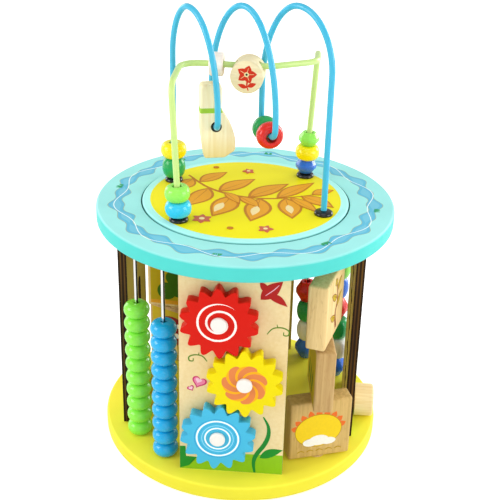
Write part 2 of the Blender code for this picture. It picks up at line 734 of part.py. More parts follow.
# A foot: the tail in the lid, a domed ferrule on it, and the wire that goes on from there
def foot_points(plan):
    dome = [(-SOCKET_DEPTH, MAZE_WIRE_RADIUS), (FIT_GAP, MAZE_WIRE_RADIUS), (FIT_GAP, FERRULE_RADIUS),
            (FERRULE_HEIGHT * 0.45, FERRULE_RADIUS), (FERRULE_HEIGHT * 0.85, FERRULE_RADIUS * 0.72),
            (FERRULE_HEIGHT, MAZE_WIRE_RADIUS)]
    return [(maze_point(plan, height), radius) for height, radius in dome]


def blue_arch(start, end, heights, share):
    spring, crown, landing = heights
    handle = 0.54

    def at(part, height):
        x = start[0] + (end[0] - start[0]) * part
        y = start[1] + (end[1] - start[1]) * part
        return maze_point((x, y), height)

    rise = spring + (crown - spring) * handle
    fall = landing + (crown - landing) * handle
    up = cubic(at(0, spring), at(0, rise), at(share * (1 - handle), crown), at(share, crown), 6)
    down = cubic(at(share, crown), at(share + (1 - share) * handle, crown), at(1, fall), at(1, landing), 6)
    return [at(0, spring)] + up + down


def blue_wire_points():
    points = []
    for i, (start, end, heights, share) in enumerate(BLUE_ARCHES):
        points += blue_arch(start, end, heights, share)
        if i < len(BLUE_LOW_LOOPS):
            (front, front_bend), (back, back_bend) = BLUE_LOW_LOOPS[i]
            following = BLUE_ARCHES[i + 1]
            a = maze_point(end, front)
            b = maze_point(following[0], back)
            points += corner(maze_point(end, heights[2]), a, b, front_bend)
            points += corner(a, b, maze_point(following[0], following[2][0]), back_bend)
    return points


def lime_wire_points():
    height = LIME_HEIGHT
    corners = [maze_point(plan, height) for plan, _ in LIME_TOP_CORNERS]
    first = maze_point(LIME_FEET[0], FERRULE_HEIGHT * 1.5)
    last = maze_point(LIME_FEET[1], FERRULE_HEIGHT * 1.5)
    stops = [first] + corners + [last]
    points = [first]
    for i, (_, reach) in enumerate(LIME_TOP_CORNERS):
        points += corner(stops[i], stops[i + 1], stops[i + 2], reach)
    return points + [last]


def build_maze_wire(name, middle, feet, colour):
    start = foot_points(feet[0])
    end = list(reversed(foot_points(feet[1])))
    path = [p for p, _ in start] + middle + [p for p, _ in end]
    radii = [r for _, r in start] + [MAZE_WIRE_RADIUS] * len(middle) + [r for _, r in end]
    make_object(name, tube_mesh(name, path, radii, WIRE_SIDES), finish(name, colour, 0.3))


def build_lid():
    top = [(0, LID_TOP)] + list(reversed(edge_arc(LID_RADIUS, LID_TOP, 1)))
    mesh = turned_mesh("maze_lid", top + [(LID_RADIUS, LID_BOTTOM), (0, LID_BOTTOM)], DISC_SIDES)
    lid = make_object("maze_lid", mesh, finish("maze_lid", TURQUOISE))
    bm = bmesh.new()
    hole = MAZE_WIRE_RADIUS + FIT_GAP
    floor = LID_TOP - SOCKET_DEPTH - FIT_GAP
    for plan in (BLUE_ARCHES[0][0], BLUE_ARCHES[-1][1], LIME_FEET[0], LIME_FEET[1]):
        add_turned(bm, [(0, LID_TOP + hole), (hole, LID_TOP + hole), (hole, floor), (0, floor)],
                   12, (plan[0], plan[1], 0))
    cut(lid, bm)


# Beads threaded on a straight leg, from its ferrule up. The leg leans from foot to top.
def build_leg_beads(prefix, foot, top, beads, colours):
    base = maze_point(foot, FERRULE_HEIGHT + 2 * FIT_GAP)
    lean = (top - base).normalized()
    turn = Vector((0, 0, 1)).rotation_difference(lean).to_euler()
    bore = MAZE_WIRE_RADIUS + MAZE_BORE_GAP
    along = 0.0
    for i, (radius, height, kind) in enumerate(beads):
        name = "%s_%d" % (prefix, i + 1)
        centre = base + lean * (along + height / 2)
        make_object(name, bead_mesh(name, radius, height, bore, kind), finish(name, colours[i], 0.2),
                    centre, turn)
        along += height + FIT_GAP


def build_maze_beads():
    blue_foot = BLUE_ARCHES[0][0]
    build_leg_beads("blue_foot_bead", blue_foot, maze_point(blue_foot, LIME_HEIGHT), BLUE_FOOT_BEADS,
                    (GREEN, GEAR_YELLOW))
    corners = [maze_point(plan, LIME_HEIGHT) for plan, _ in LIME_TOP_CORNERS]
    build_leg_beads("lime_front_bead", LIME_FEET[0], corners[0], LIME_FRONT_BEADS, (SKY, LIME))
    build_leg_beads("lime_back_bead", LIME_FEET[1], corners[-1], LIME_BACK_BEADS,
                    (BLUE, GEAR_YELLOW, LIME))


# The bottom of a low loop: its front corner and its direction
def low_loop_run(index):
    (front, _), (back, _) = BLUE_LOW_LOOPS[index]
    a = maze_point(BLUE_ARCHES[index][1], front)
    b = maze_point(BLUE_ARCHES[index + 1][0], back)
    return a, (b - a).normalized()


def build_loop_beads():
    start, along = low_loop_run(1)
    bore = LOOP_BEAD_BORE_RADIUS
    turn = Vector((0, 0, 1)).rotation_difference(along).to_euler()
    reach = LOOP_BEADS_START
    for name, (radius, height), colour in (("red_loop_bead", RED_LOOP_BEAD, RED),
                                           ("green_loop_bead", GREEN_LOOP_BEAD, GREEN)):
        centre = start + along * (reach + height / 2) - Vector((0, 0, LOOP_BEAD_SAG))
        make_object(name, bead_mesh(name, radius, height, bore, "round"), finish(name, colour, 0.2),
                    centre, turn)
        reach += height + LOOP_BEADS_SPACE


# The lime wire's middle run, where it passes a given x
def lime_run(x):
    (left, _), (right, _) = LIME_TOP_CORNERS[1], LIME_TOP_CORNERS[2]
    a = maze_point(left, LIME_HEIGHT)
    b = maze_point(right, LIME_HEIGHT)
    along = (b - a).normalized()
    return a + along * ((x - a.x) / along.x), along


def build_discs():
    point, along = lime_run(PICTURE_DISC_X)
    yaw = math.atan2(along.y, along.x)
    soft = 0.0012
    radius = PICTURE_DISC_RADIUS
    half = PICTURE_DISC_THICKNESS / 2
    profile = [(0, half), (radius - soft, half), (radius, half - soft), (radius, soft - half),
               (radius - soft, -half), (0, -half)]
    disc = make_object("picture_disc", turned_mesh("picture_disc", profile, 24), finish("picture_disc", WOOD),
                       point - Vector((0, 0, PICTURE_DISC_DROP)), (math.pi / 2, 0, yaw))
    bm = bmesh.new()
    bore = MAZE_WIRE_RADIUS + MAZE_BORE_GAP
    add_turned(bm, [(0, radius * 2), (bore, radius * 2), (bore, -radius * 2), (0, -radius * 2)], 12)
    turn = Matrix.Translation(point) @ Matrix.Rotation(yaw, 4, 'Z') @ Matrix.Rotation(math.pi / 2, 4, 'Y')
    bmesh.ops.transform(bm, matrix=turn, verts=bm.verts)
    cut(disc, bm)

    point, along = lime_run(PLAIN_DISC_X)
    half = PLAIN_DISC_THICKNESS / 2
    radius = PLAIN_DISC_RADIUS
    profile = [(bore, half), (radius - soft, half), (radius, half - soft), (radius, soft - half),
               (radius - soft, -half), (bore, -half)]
    turn = Vector((0, 0, 1)).rotation_difference(along).to_euler()
    mesh = turned_mesh("plain_disc", profile, 20)
    make_object("plain_disc", mesh, finish("plain_disc", WHITE), point, turn)


# A cut-out of a long-necked animal with one flat foot, hanging on the wire at its shoulder
def animal_outline():
    left = -ANIMAL_LEFT_OF_WIRE
    right = left + ANIMAL_BODY_WIDTH
    neck = left + ANIMAL_NECK_WIDTH
    low = -ANIMAL_BELOW_WIRE
    high = LIME_HEIGHT - BLUE_LOW_LOOPS[0][0][0] - ANIMAL_TOP_GAP
    toe = left + ANIMAL_TOE
    return [(toe, low), (toe + ANIMAL_SOLE, low), (right, low + ANIMAL_HEEL_RISE),
            (right, low * 0.4), (right - 0.003, -0.001), (neck + 0.004, 0.009), (neck, 0.014),
            (neck, high - 0.002), (neck - 0.002, high), (left + 0.002, high), (left, high - 0.002),
            (left - 0.0005, 0)]


def build_animal():
    start, along = low_loop_run(0)
    bm = bmesh.new()
    half = ANIMAL_THICKNESS / 2
    add_prism(bm, animal_outline(), -half, half)
    middle = start + along * (BLUE_LOW_LOOPS[0][0][1] + half)
    yaw = math.atan2(along.y, along.x) - math.pi / 2
    block = make_object("animal_block", mesh_from(bm, "animal_block"), finish("animal_block", WOOD, 0.5),
                        middle, (math.pi / 2, 0, yaw))
    cutter = bmesh.new()
    bore = ANIMAL_BORE_RADIUS
    reach = ANIMAL_THICKNESS * 2
    add_turned(cutter, [(0, reach), (bore, reach), (bore, -reach), (0, -reach)], 12)
    turn = Matrix.Translation(middle) @ Vector((0, 0, 1)).rotation_difference(along).to_matrix().to_4x4()
    bmesh.ops.transform(cutter, matrix=turn, verts=cutter.verts)
    cut(block, cutter)


# A hand: a round hub that narrows to its tip, drawn pointing up and turned to its hour
def build_hand(name, length, layer, angle, colour):
    steps = 10
    outline = []
    for i in range(steps + 1):
        turn = math.radians(150 + 240 * i / steps)
        outline.append((HAND_HUB_RADIUS * math.cos(turn), HAND_HUB_RADIUS * math.sin(turn)))
    shoulder = HAND_HUB_RADIUS * 0.55
    outline += [(shoulder, length * 0.7), (0, length), (-shoulder, length * 0.7)]
    bm = bmesh.new()
    add_prism(bm, outline, 0, HAND_THICKNESS)
    place = (0, PANEL_FACE + FIT_GAP + layer * (HAND_THICKNESS + FIT_GAP), BASE_TOP + CLOCK_HEIGHT)
    turn = Matrix.Rotation(math.pi, 4, 'Z') @ Matrix.Rotation(math.pi / 2, 4, 'X')
    turn = turn @ Matrix.Rotation(-math.radians(angle), 4, 'Z')
    hand = make_object(name, mesh_from(bm, name), finish(name, colour), place, turn.to_euler())
    bore = bmesh.new()
    add_cross_hole(bore, place, CLOCK_PIN_RADIUS + SPIN_GAP, 8 * HAND_THICKNESS)
    cut(hand, bore)


def build_clock():
    build_hand("clock_hour_hand", HOUR_HAND_LENGTH, 0, 305, BLUE)
    build_hand("clock_minute_hand", MINUTE_HAND_LENGTH, 1, 60, RED)
    head = 2 * (HAND_THICKNESS + FIT_GAP) + FIT_GAP
    profile = [(0, head + CLOCK_HEAD_THICKNESS), (CLOCK_HEAD_RADIUS, head + CLOCK_HEAD_THICKNESS * 0.5),
               (CLOCK_HEAD_RADIUS, head), (CLOCK_PIN_RADIUS, head), (CLOCK_PIN_RADIUS, -CLOCK_PIN_DEPTH),
               (0, -CLOCK_PIN_DEPTH)]
    make_object("clock_pin", turned_mesh("clock_pin", profile, 12), finish("clock_pin", STEEL, 0.3, 1.0),
                (0, PANEL_FACE, BASE_TOP + CLOCK_HEIGHT), (-math.pi / 2, 0, 0))


def main():
    clear_scene()
    build_base()
    build_ring()
    build_panels()
    build_gears()
    build_abacus()
    build_spinners()
    build_strings()
    build_lid()
    build_maze_wire("blue_maze_wire", blue_wire_points(), (BLUE_ARCHES[0][0], BLUE_ARCHES[-1][1]), SKY)
    build_maze_wire("lime_maze_wire", lime_wire_points(), LIME_FEET, LIME)
    build_maze_beads()
    build_loop_beads()
    build_discs()
    build_animal()
    build_track_pieces()
    build_clock()


main()
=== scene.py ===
# Looks for the round wooden activity centre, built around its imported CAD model.
# Lengths are in metres, except where a name or a note says mm. The front panel faces -Y.

import math
import random

import bmesh
import bpy
from mathutils import Matrix, Vector


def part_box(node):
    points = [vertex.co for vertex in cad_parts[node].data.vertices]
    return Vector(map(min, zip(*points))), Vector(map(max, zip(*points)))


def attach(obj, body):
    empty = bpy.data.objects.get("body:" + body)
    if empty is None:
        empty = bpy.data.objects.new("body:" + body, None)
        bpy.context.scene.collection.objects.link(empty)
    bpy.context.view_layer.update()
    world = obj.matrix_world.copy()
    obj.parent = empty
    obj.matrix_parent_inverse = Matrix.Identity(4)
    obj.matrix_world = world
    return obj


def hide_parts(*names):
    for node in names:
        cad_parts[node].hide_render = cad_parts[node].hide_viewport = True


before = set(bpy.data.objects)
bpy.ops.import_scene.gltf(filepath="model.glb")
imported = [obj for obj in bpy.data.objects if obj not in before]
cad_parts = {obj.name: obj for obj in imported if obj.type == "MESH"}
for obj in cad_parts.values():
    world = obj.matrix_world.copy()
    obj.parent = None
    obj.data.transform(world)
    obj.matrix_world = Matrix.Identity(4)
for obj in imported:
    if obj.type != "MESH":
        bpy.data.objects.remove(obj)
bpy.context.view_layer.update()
mm = 0.001
gap = 0.0003      # between pieces that touch, as in the CAD model
fullTurn = 2 * math.pi
print("frame loaded:", len(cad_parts), "nodes")


# Tools for materials

# The size of the marks in each finish. Fibre stipple, screen mottle, drawn lines, plywood pores and mould
# grain are drawn several times as coarse as they are, because at their own size they wouldn't show.
markMm = {"lacquerCloud": 6.25, "orangePeel": 1.11111, "screenMottle": 2.38095, "beechGrain": 3.2,
          "beechFleck": 1.4, "drawnLine": 0.666667, "paintCloud": 22.2222, "fibreStipple": 0.714286,
          "riverWobble": 16.6667, "printSweep": 71.4286, "plywoodPore": 3.33333, "dryBrush": 1.11111,
          "mouldGrain": 1.42857, "paperFibre": 5.0}


def markScale(mark):
    return 1 / (markMm[mark] * mm)


def linearColour(hexText):
    values = [int(hexText[i:i + 2], 16) / 255 for i in (1, 3, 5)]
    return tuple(v / 12.92 if v <= 0.04045 else ((v + 0.055) / 1.055) ** 2.4 for v in values) + (1.0,)


def shaded(hexText, share, veil=0.0):
    return tuple(c * share + veil for c in linearColour(hexText)[:3]) + (1.0,)


# Adds one node and gives one of its outputs, or the node itself with out=None. A shader node's kind comes
# without its prefix, and its operation may follow. Values are numbers, hex colours or sockets to link from
# (a list of sockets for a joining input), in the order of the inputs or by the inputs' names.
def addNode(tree, kind, values=(), out=0, **settings):
    kind, *operation = kind.split()
    node = tree.nodes.new(kind if "Node" in kind else "ShaderNode" + kind)
    if operation:
        node.operation = operation[0]
    for key, value in settings.items():
        setattr(node, key, value)
    for key, value in (values.items() if isinstance(values, dict) else enumerate(values)):
        for part in value if isinstance(value, list) else [value]:
            if isinstance(part, bpy.types.NodeSocket):
                tree.links.new(part, node.inputs[key])
            elif part is not None:
                node.inputs[key].default_value = linearColour(part) if isinstance(part, str) else part
    return node if out is None else node.outputs[out]


# Adds nodes in a row. Each takes the last one's output first, and then its own values.
def chain(tree, value, *steps):
    for kind, *others in steps:
        value = addNode(tree, kind, (value, *others))
    return value


asColour = {"out": 2, "data_type": 'RGBA'}      # what makes a Mix node mix colours


def startMaterial(name, **constants):
    material = bpy.data.materials.new(name)
    material.use_nodes = True
    shader = material.node_tree.nodes["Principled BSDF"]
    for key, value in constants.items():
        shader.inputs[key.replace("_", " ")].default_value = value
    return material, material.node_tree


# Links a colour and, from one fine pattern, a roughness between two values and a bump
def finishMaterial(material, colour, grain=None, smooth=0.0, rough=1.0, bumpMm=0.0):
    tree = material.node_tree
    shader = tree.nodes["Principled BSDF"]
    tree.links.new(colour, shader.inputs["Base Color"])
    if grain is not None:
        gloss = addNode(tree, "MapRange", (grain, 0.0, 1.0, smooth, rough))
        tree.links.new(gloss, shader.inputs["Roughness"])
    if bumpMm:
        normal = addNode(tree, "Bump", {"Height": grain, "Distance": bumpMm * mm, "Strength": 1.0})
        tree.links.new(normal, shader.inputs["Normal"])
    return material


# Object coordinates from a place, turned so that a pattern follows a turned piece
def coordinatesAt(tree, place=(0, 0, 0), turn=0.0):
    moved = addNode(tree, "VectorMath SUBTRACT", (addNode(tree, "TexCoord", out="Object"), place))
    return addNode(tree, "VectorRotate", {"Vector": moved, "Angle": -turn}, rotation_type='Z_AXIS')


# Distance in mm from the place and angle round it, seen on an upright face, or on a level one
def roundPlace(tree, coordinates, level=False):
    parts = addNode(tree, "SeparateXYZ", (coordinates,), out=None)
    across, rise = parts.outputs["X"], parts.outputs["Y" if level else "Z"]
    flat = addNode(tree, "CombineXYZ", (across, rise))
    radius = addNode(tree, "VectorMath LENGTH", (flat,), out="Value")
    return chain(tree, radius, ("Math MULTIPLY", 1 / mm)), addNode(tree, "Math ARCTAN2", (across, rise))


# Which way a surface faces, along one axis
def facingAlong(tree, axis):
    return addNode(tree, "SeparateXYZ", (addNode(tree, "NewGeometry", out="Normal"),), out=axis)


# Bands of colour by a value, hard-edged. Each stop is (the value where it begins, colour).
def colourBands(tree, value, low, high, stops, soft=False):
    spread = addNode(tree, "MapRange", (value, low, high))
    ramp = addNode(tree, "ValToRGB", (spread,), out=None)
    ramp.color_ramp.interpolation = 'LINEAR' if soft else 'CONSTANT'
    elements = ramp.color_ramp.elements
    while len(elements) < len(stops):
        elements.new(0.5)
    for element, (start, hexText) in zip(elements, stops):
        element.position = (start - low) / (high - low)
        element.color = linearColour(hexText)
    return ramp.outputs[0]


# Cellulose lacquer sprayed on turned beech: full colour, slightly uneven film, wet highlights
def lacquerMaterial(name, hexText, shade=0.88, roughness=0.26):
    material, tree = startMaterial(name, Coat_Weight=0.6, Coat_Roughness=0.14, Specular_IOR_Level=0.15)
    here = coordinatesAt(tree)
    cloud = addNode(tree, "TexNoise", {"Vector": here, "Scale": markScale("lacquerCloud"), "Detail": 2.0})
    colour = addNode(tree, "Mix", {0: cloud, 6: shaded(hexText, shade), 7: hexText}, **asColour)
    fine = addNode(tree, "TexNoise", {"Vector": here, "Scale": markScale("orangePeel"), "Detail": 1.0})
    return finishMaterial(material, colour, fine, roughness - 0.04, roughness + 0.06, 0.04)


inkColours = {"leafGreen": "#1f8f2c", "hillGreen": "#8ec41c", "stemGreen": "#1c8a33", "curlGreen": "#5f8a24",
              "pink": "#ee86ae", "rose": "#c9316e", "palePink": "#f8c9dc", "darkRed": "#b3201c",
              "brown": "#8a4b22", "orange": "#eaa628", "deepOrange": "#c47f22", "cream": "#f5e2a6",
              "coral": "#cc6a50", "sun": "#f2cf1d", "sunEdge": "#b8941c", "white": "#f6f4ec",
              "ray": "#e8702a", "scarlet": "#d83418", "olive": "#c3a713", "forest": "#3d6d10",
              "maroon": "#8c1d1b", "grass": "#3aa86a", "ink": "#33302b", "sky": "#4fb2e6"}
inkMaterials = {}


# Screen-printed ink on primed board: flat, half matt, with the faint mottle of the screen
def inkMaterial(ink):
    if ink not in inkMaterials:
        material, tree = startMaterial("screen_printed_ink_" + ink, Specular_IOR_Level=0.12)
        mottle = addNode(tree, "TexNoise", {"Vector": coordinatesAt(tree), "Scale": markScale("screenMottle"),
                                            "Detail": 3.0})
        full = inkColours[ink]
        colour = addNode(tree, "Mix", {0: mottle, 6: shaded(full, 0.86, 0.006), 7: full}, **asColour)
        inkMaterials[ink] = finishMaterial(material, colour, mottle, 0.4, 0.55)
    return inkMaterials[ink]


# Plain sanded beech: straight grain along the piece, short dark flecks, a thin matt varnish
def beechMaterial(name, place=(0, 0, 0), turn=0.0, light="#ebce92", dark="#cfa765", along='Z', flecks=0.22):
    material, tree = startMaterial(name, Specular_IOR_Level=0.25)
    here = coordinatesAt(tree, place, turn)
    grainShare, fleckShare = 0.05, 0.2      # how wide a grain line and a fleck are for their length
    long, short = (chain(tree, here, ("VectorMath MULTIPLY", squeeze)) for squeeze in (
        tuple(share if axis == along else 1 for axis in "XYZ") for share in (grainShare, fleckShare)))
    grain = addNode(tree, "TexNoise", {"Vector": long, "Scale": markScale("beechGrain"), "Detail": 4.0,
                                       "Distortion": 0.6})
    fleck = addNode(tree, "TexNoise", {"Vector": short, "Scale": markScale("beechFleck"), "Detail": 1.0})
    wood = colourBands(tree, grain, 0.3, 0.7, ((0.3, dark), (0.7, light)), soft=True)
    spots = addNode(tree, "MapRange", (fleck, 0.6, 0.72, 0.0, flecks))
    colour = addNode(tree, "Mix", {0: spots, 6: wood, 7: "#9c6b38"}, **asColour)
    return finishMaterial(material, colour, grain, 0.5, 0.68, 0.08)


# Chrome-plated steel: a mirror with faint drawing lines. Each rod also gets a painted reflection: a bright
# side and a dark one, painted by the way that its surface faces, as narrow mirrors show in a room.
def chromeMaterial(name):
    material, tree = startMaterial(name, Metallic=1.0)
    long = chain(tree, coordinatesAt(tree), ("VectorMath MULTIPLY", (1, 1, 0.03)))
    lines = addNode(tree, "TexNoise", {"Vector": long, "Scale": markScale("drawnLine"), "Detail": 1.0})
    normal = addNode(tree, "NewGeometry", out="Normal")
    turned = addNode(tree, "VectorMath DOT_PRODUCT", (normal, (1.0, 0.25, 0.0)), out="Value")
    side = addNode(tree, "Math MULTIPLY_ADD", (lines, 0.3, turned))
    # painted reflection: the colour is bright or dark by which way the surface faces
    paintedReflection = colourBands(tree, side, -1.0, 1.3, (
        (-1.0, "#8f9494"), (-0.75, "#f4f4f0"), (0.05, "#f4f4f0"), (0.2, "#1c2422"), (0.75, "#39403c"),
        (1.0, "#a9aca8")), soft=True)
    return finishMaterial(material, paintedReflection, lines, 0.08, 0.2)


# Tools for meshes

def pieceName(node):
    first, *others = node.split("_")
    return first + "".join(word.title() for word in others)


def around(azimuth, radius, height=0.0):
    angle = math.radians(azimuth)
    return Vector((radius * math.sin(angle), -radius * math.cos(angle), height))


def facing(direction, place=(0, 0, 0)):
    turn = Vector((0, 0, 1)).rotation_difference(Vector(direction)).to_matrix().to_4x4()
    return Matrix.Translation(place) @ turn


# A matrix for a shape drawn in X and Y, stood upright and then turned about Z
def upright(place, yaw):
    return Matrix.Translation(place) @ Matrix.Rotation(yaw, 4, 'Z') @ Matrix.Rotation(math.pi / 2, 4, 'X')


def onCircle(radius, angle):
    return radius * math.cos(angle), radius * math.sin(angle)


# A turned solid about the matrix's Z. The profile is a closed loop of (radius, height).
def addTurned(bm, profile, sides, matrix):
    rings = [[bm.verts.new(matrix @ Vector((*onCircle(radius, fullTurn * i / sides), height)))
              for i in range(1 if radius < 1e-7 else sides)] for radius, height in profile]
    for first, second in zip(rings, rings[1:] + rings[:1]):
        for i in range(sides):
            j = (i + 1) % sides
            corners = [first[i % len(first)], second[i % len(second)], second[j % len(second)],
                       first[j % len(first)]]
            distinct = [v for k, v in enumerate(corners) if v not in corners[:k]]
            if len(distinct) > 2:
                bm.faces.new(distinct)


def addPlate(bm, outline, low, high, matrix, slot=0):
    bottom, top = ([bm.verts.new(matrix @ Vector((x, y, level))) for x, y in outline]
                   for level in (low, high))
    faces = [bm.faces.new(bottom), bm.faces.new(top)]
    for i in range(len(outline)):
        j = (i + 1) % len(outline)
        faces.append(bm.faces.new((bottom[i], bottom[j], top[j], top[i])))
    for face in faces:
        face.material_index = slot
    return faces


def shadeSoftly(mesh, smoothAngle):
    mesh.shade_smooth()
    mesh.set_sharp_from_angle(angle=math.radians(smoothAngle))


def addObject(name, data):
    obj = bpy.data.objects.new(name, data)
    bpy.context.scene.collection.objects.link(obj)
    return obj


def makeObject(name, bm, materials, smoothAngle=40):
    bmesh.ops.recalc_face_normals(bm, faces=bm.faces)
    mesh = bpy.data.meshes.new(name)
    bm.to_mesh(mesh)
    bm.free()
    for material in materials:
        mesh.materials.append(material)
    shadeSoftly(mesh, smoothAngle)
    return addObject(name, mesh)


def evaluatedMesh(obj):
    return bpy.data.meshes.new_from_object(obj.evaluated_get(bpy.context.evaluated_depsgraph_get()))


# Turns what the modifiers make into a plain mesh
def bakeModifiers(obj, smoothAngle=40):
    mesh = evaluatedMesh(obj)
    obj.modifiers.clear()
    obj.data = mesh
    bm = bmesh.new()
    bm.from_mesh(mesh)
    bmesh.ops.remove_doubles(bm, verts=bm.verts, dist=1e-6)
    bmesh.ops.recalc_face_normals(bm, faces=bm.faces)
    bm.to_mesh(mesh)
    bm.free()
    shadeSoftly(mesh, smoothAngle)


def softenEdges(obj, width, segments=3, angle=40, smoothAngle=40):
    bevel = obj.modifiers.new("softEdges", 'BEVEL')
    bevel.width = width
    bevel.segments = segments
    bevel.limit_method = 'ANGLE'
    bevel.angle_limit = math.radians(angle)
    bakeModifiers(obj, smoothAngle)


drillSides = 32


# Bores a round hole along the matrix's Z, as far as the reach to both sides
def drill(obj, radius, matrix, reach=0.03):
    bm = bmesh.new()
    addTurned(bm, [(0, reach), (radius, reach), (radius, -reach), (0, -reach)], drillSides, matrix)
    cutter = makeObject(obj.name + "_cutter", bm, [])
    hole = obj.modifiers.new("hole", 'BOOLEAN')
    hole.operation = 'DIFFERENCE'
    hole.solver = 'EXACT'
    hole.object = cutter
    bakeModifiers(obj)
    bpy.data.objects.remove(cutter)


# Puts a finished piece on its CAD body, and as a rule in the node's place
def settle(obj, node, body=None, inPlace=True):
    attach(obj, body or node)
    if inPlace:
        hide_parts(node)


def turnedPiece(node, profile, sides, matrix, material, body=None, name=None):
    bm = bmesh.new()
    addTurned(bm, profile, sides, matrix)
    settle(makeObject(name or pieceName(node), bm, [material]), node, body)


def roundedCorner(radius, height, soft, start, steps=5):
    arc = [onCircle(soft, math.radians(start - 90 * i / steps)) for i in range(steps + 1)]
    return [(radius + across, height + rise) for across, rise in arc]


def runTree(obj, tree, **values):
    modifier = obj.modifiers.new(tree.name, 'NODES')
    modifier.node_group = tree
    for item in tree.interface.items_tree:
        key = item.name.replace(" ", "")
        if item.in_out == 'INPUT' and key in values:
            modifier[item.identifier] = values[key]
    bakeModifiers(obj)


def startTree(name, **sockets):
    tree = bpy.data.node_groups.new(name, 'GeometryNodeTree')
    tree.is_modifier = True
    for label, kind in sockets.items():
        tree.interface.new_socket(name=label.replace("_", " "), in_out='INPUT',
                                  socket_type="NodeSocket" + kind)
    tree.interface.new_socket(name="Geometry", in_out='OUTPUT', socket_type='NodeSocketGeometry')
    return tree, addNode(tree, "NodeGroupInput", out=None).outputs


def endTree(tree, geometry, finish):
    real = addNode(tree, "GeometryNodeRealizeInstances", (geometry,))
    dressed = addNode(tree, "GeometryNodeSetMaterial", {"Geometry": real, "Material": finish})
    addNode(tree, "NodeGroupOutput", (dressed,), out=None)
    return tree


# One piece repeated up a rod: beads and washers
def buildColumnTree():
    tree, given = startTree("column", Geometry="Geometry", Count="Int", Pitch="Float", Finish="Material")
    step = addNode(tree, "CombineXYZ", {"Z": given["Pitch"]})
    line = addNode(tree, "GeometryNodeMeshLine", {"Count": given["Count"], "Offset": step}, mode='OFFSET')
    copies = addNode(tree, "GeometryNodeInstanceOnPoints", {"Points": line, "Instance": given["Geometry"]})
    return endTree(tree, copies, given["Finish"])


# A round wire that follows a line of points
def buildWireTree():
    tree, given = startTree("bentWire", Geometry="Geometry", Radius="Float", Sides="Int", Finish="Material")
    path = addNode(tree, "GeometryNodeMeshToCurve", (given["Geometry"],))
    section = addNode(tree, "GeometryNodeCurvePrimitiveCircle",
                      {"Resolution": given["Sides"], "Radius": given["Radius"]})
    tube = addNode(tree, "GeometryNodeCurveToMesh",
                   {"Curve": path, "Profile Curve": section, "Fill Caps": True})
    return endTree(tree, tube, given["Finish"])


# A gear wheel: its rim follows one rule, a raised cosine for each tooth
def buildGearTree():
    pointsPerTooth, borePoints = 24, 48
    tree, given = startTree("gearWheel", Teeth="Int", Tip_Radius="Float", Tooth_Depth="Float",
                            Bluntness="Float", Thickness="Float", Bore_Radius="Float", Phase="Float",
                            Finish="Material")
    count = addNode(tree, "Math MULTIPLY", (given["Teeth"], pointsPerTooth))
    blank = addNode(tree, "GeometryNodeCurvePrimitiveCircle",
                    {"Resolution": count, "Radius": given["Tip Radius"]})
    index = addNode(tree, "GeometryNodeInputIndex")
    angle = chain(tree, index, ("Math DIVIDE", count), ("Math MULTIPLY", fullTurn))
    rise = chain(tree, angle, ("Math MULTIPLY", given["Teeth"]), ("Math COSINE",),
                 ("Math MULTIPLY_ADD", 0.5, 0.5), ("Math MAXIMUM", 0.0), ("Math POWER", given["Bluntness"]))
    cutBack = chain(tree, 1.0, ("Math SUBTRACT", rise), ("Math MULTIPLY", given["Tooth Depth"]))
    radius = chain(tree, given["Tip Radius"], ("Math SUBTRACT", cutBack))
    turned = chain(tree, angle, ("Math ADD", given["Phase"]))
    x, y = (chain(tree, turned, (wave,), ("Math MULTIPLY", radius)) for wave in ("Math SINE", "Math COSINE"))
    place = addNode(tree, "CombineXYZ", (x, y))
    rim = addNode(tree, "GeometryNodeSetPosition", {"Geometry": blank, "Position": place})
    bore = addNode(tree, "GeometryNodeCurvePrimitiveCircle",
                   {"Resolution": borePoints, "Radius": given["Bore Radius"]})
    outlines = addNode(tree, "GeometryNodeJoinGeometry", ([rim, bore],))
    back = addNode(tree, "GeometryNodeFillCurve", {"Curve": outlines})
    height = addNode(tree, "CombineXYZ", {"Z": given["Thickness"]})
    front = addNode(tree, "GeometryNodeExtrudeMesh",
                    {"Mesh": back, "Offset": height, "Offset Scale": 1.0, "Individual": False})
    flipped = addNode(tree, "GeometryNodeFlipFaces", (back,))
    both = addNode(tree, "GeometryNodeJoinGeometry", ([front, flipped],))
    return endTree(tree, both, given["Finish"])


columnTree = buildColumnTree()
wireTree = buildWireTree()
gearTree = buildGearTree()
print("tools and node trees ready")


# Prints: thin layers of ink laid on a face, drawn in mm. Later shapes lie on top.

inkSize = {"firstMm": 0.05, "stepMm": 0.012}


def smoothPath(points, steps=6):
    path = []
    ends = [points[0]] + list(points) + [points[-1]]
    for a, b, c, d in zip(ends, ends[1:], ends[2:], ends[3:]):
        for i in range(steps):
            t = i / steps
            path.append(tuple(0.5 * (2 * q + (r - p) * t + (2 * p - 5 * q + 4 * r - s) * t * t
                                     + (3 * q - p - 3 * r + s) * t ** 3) for p, q, r, s in zip(a, b, c, d)))
    return path + [tuple(points[-1])]


# A brush stroke along a path, as the two sides of a strip. Its width goes from one end over the middle
# to the other end.
def stroke(points, widths):
    path = smoothPath(points)
    sides = {"left": [], "right": []}
    for i, (x, y) in enumerate(path):
        (x0, y0), (x1, y1) = path[max(i - 1, 0)], path[min(i + 1, len(path) - 1)]
        length = math.hypot(x1 - x0, y1 - y0) or 1.0
        t = i / (len(path) - 1)
        half = (widths[0] * (1 - t) ** 2 + 2 * widths[1] * t * (1 - t) + widths[2] * t * t) / 2
        nx, ny = -(y1 - y0) / length * half, (x1 - x0) / length * half
        sides["left"].append((x + nx, y + ny))
        sides["right"].append((x - nx, y - ny))
    return sides


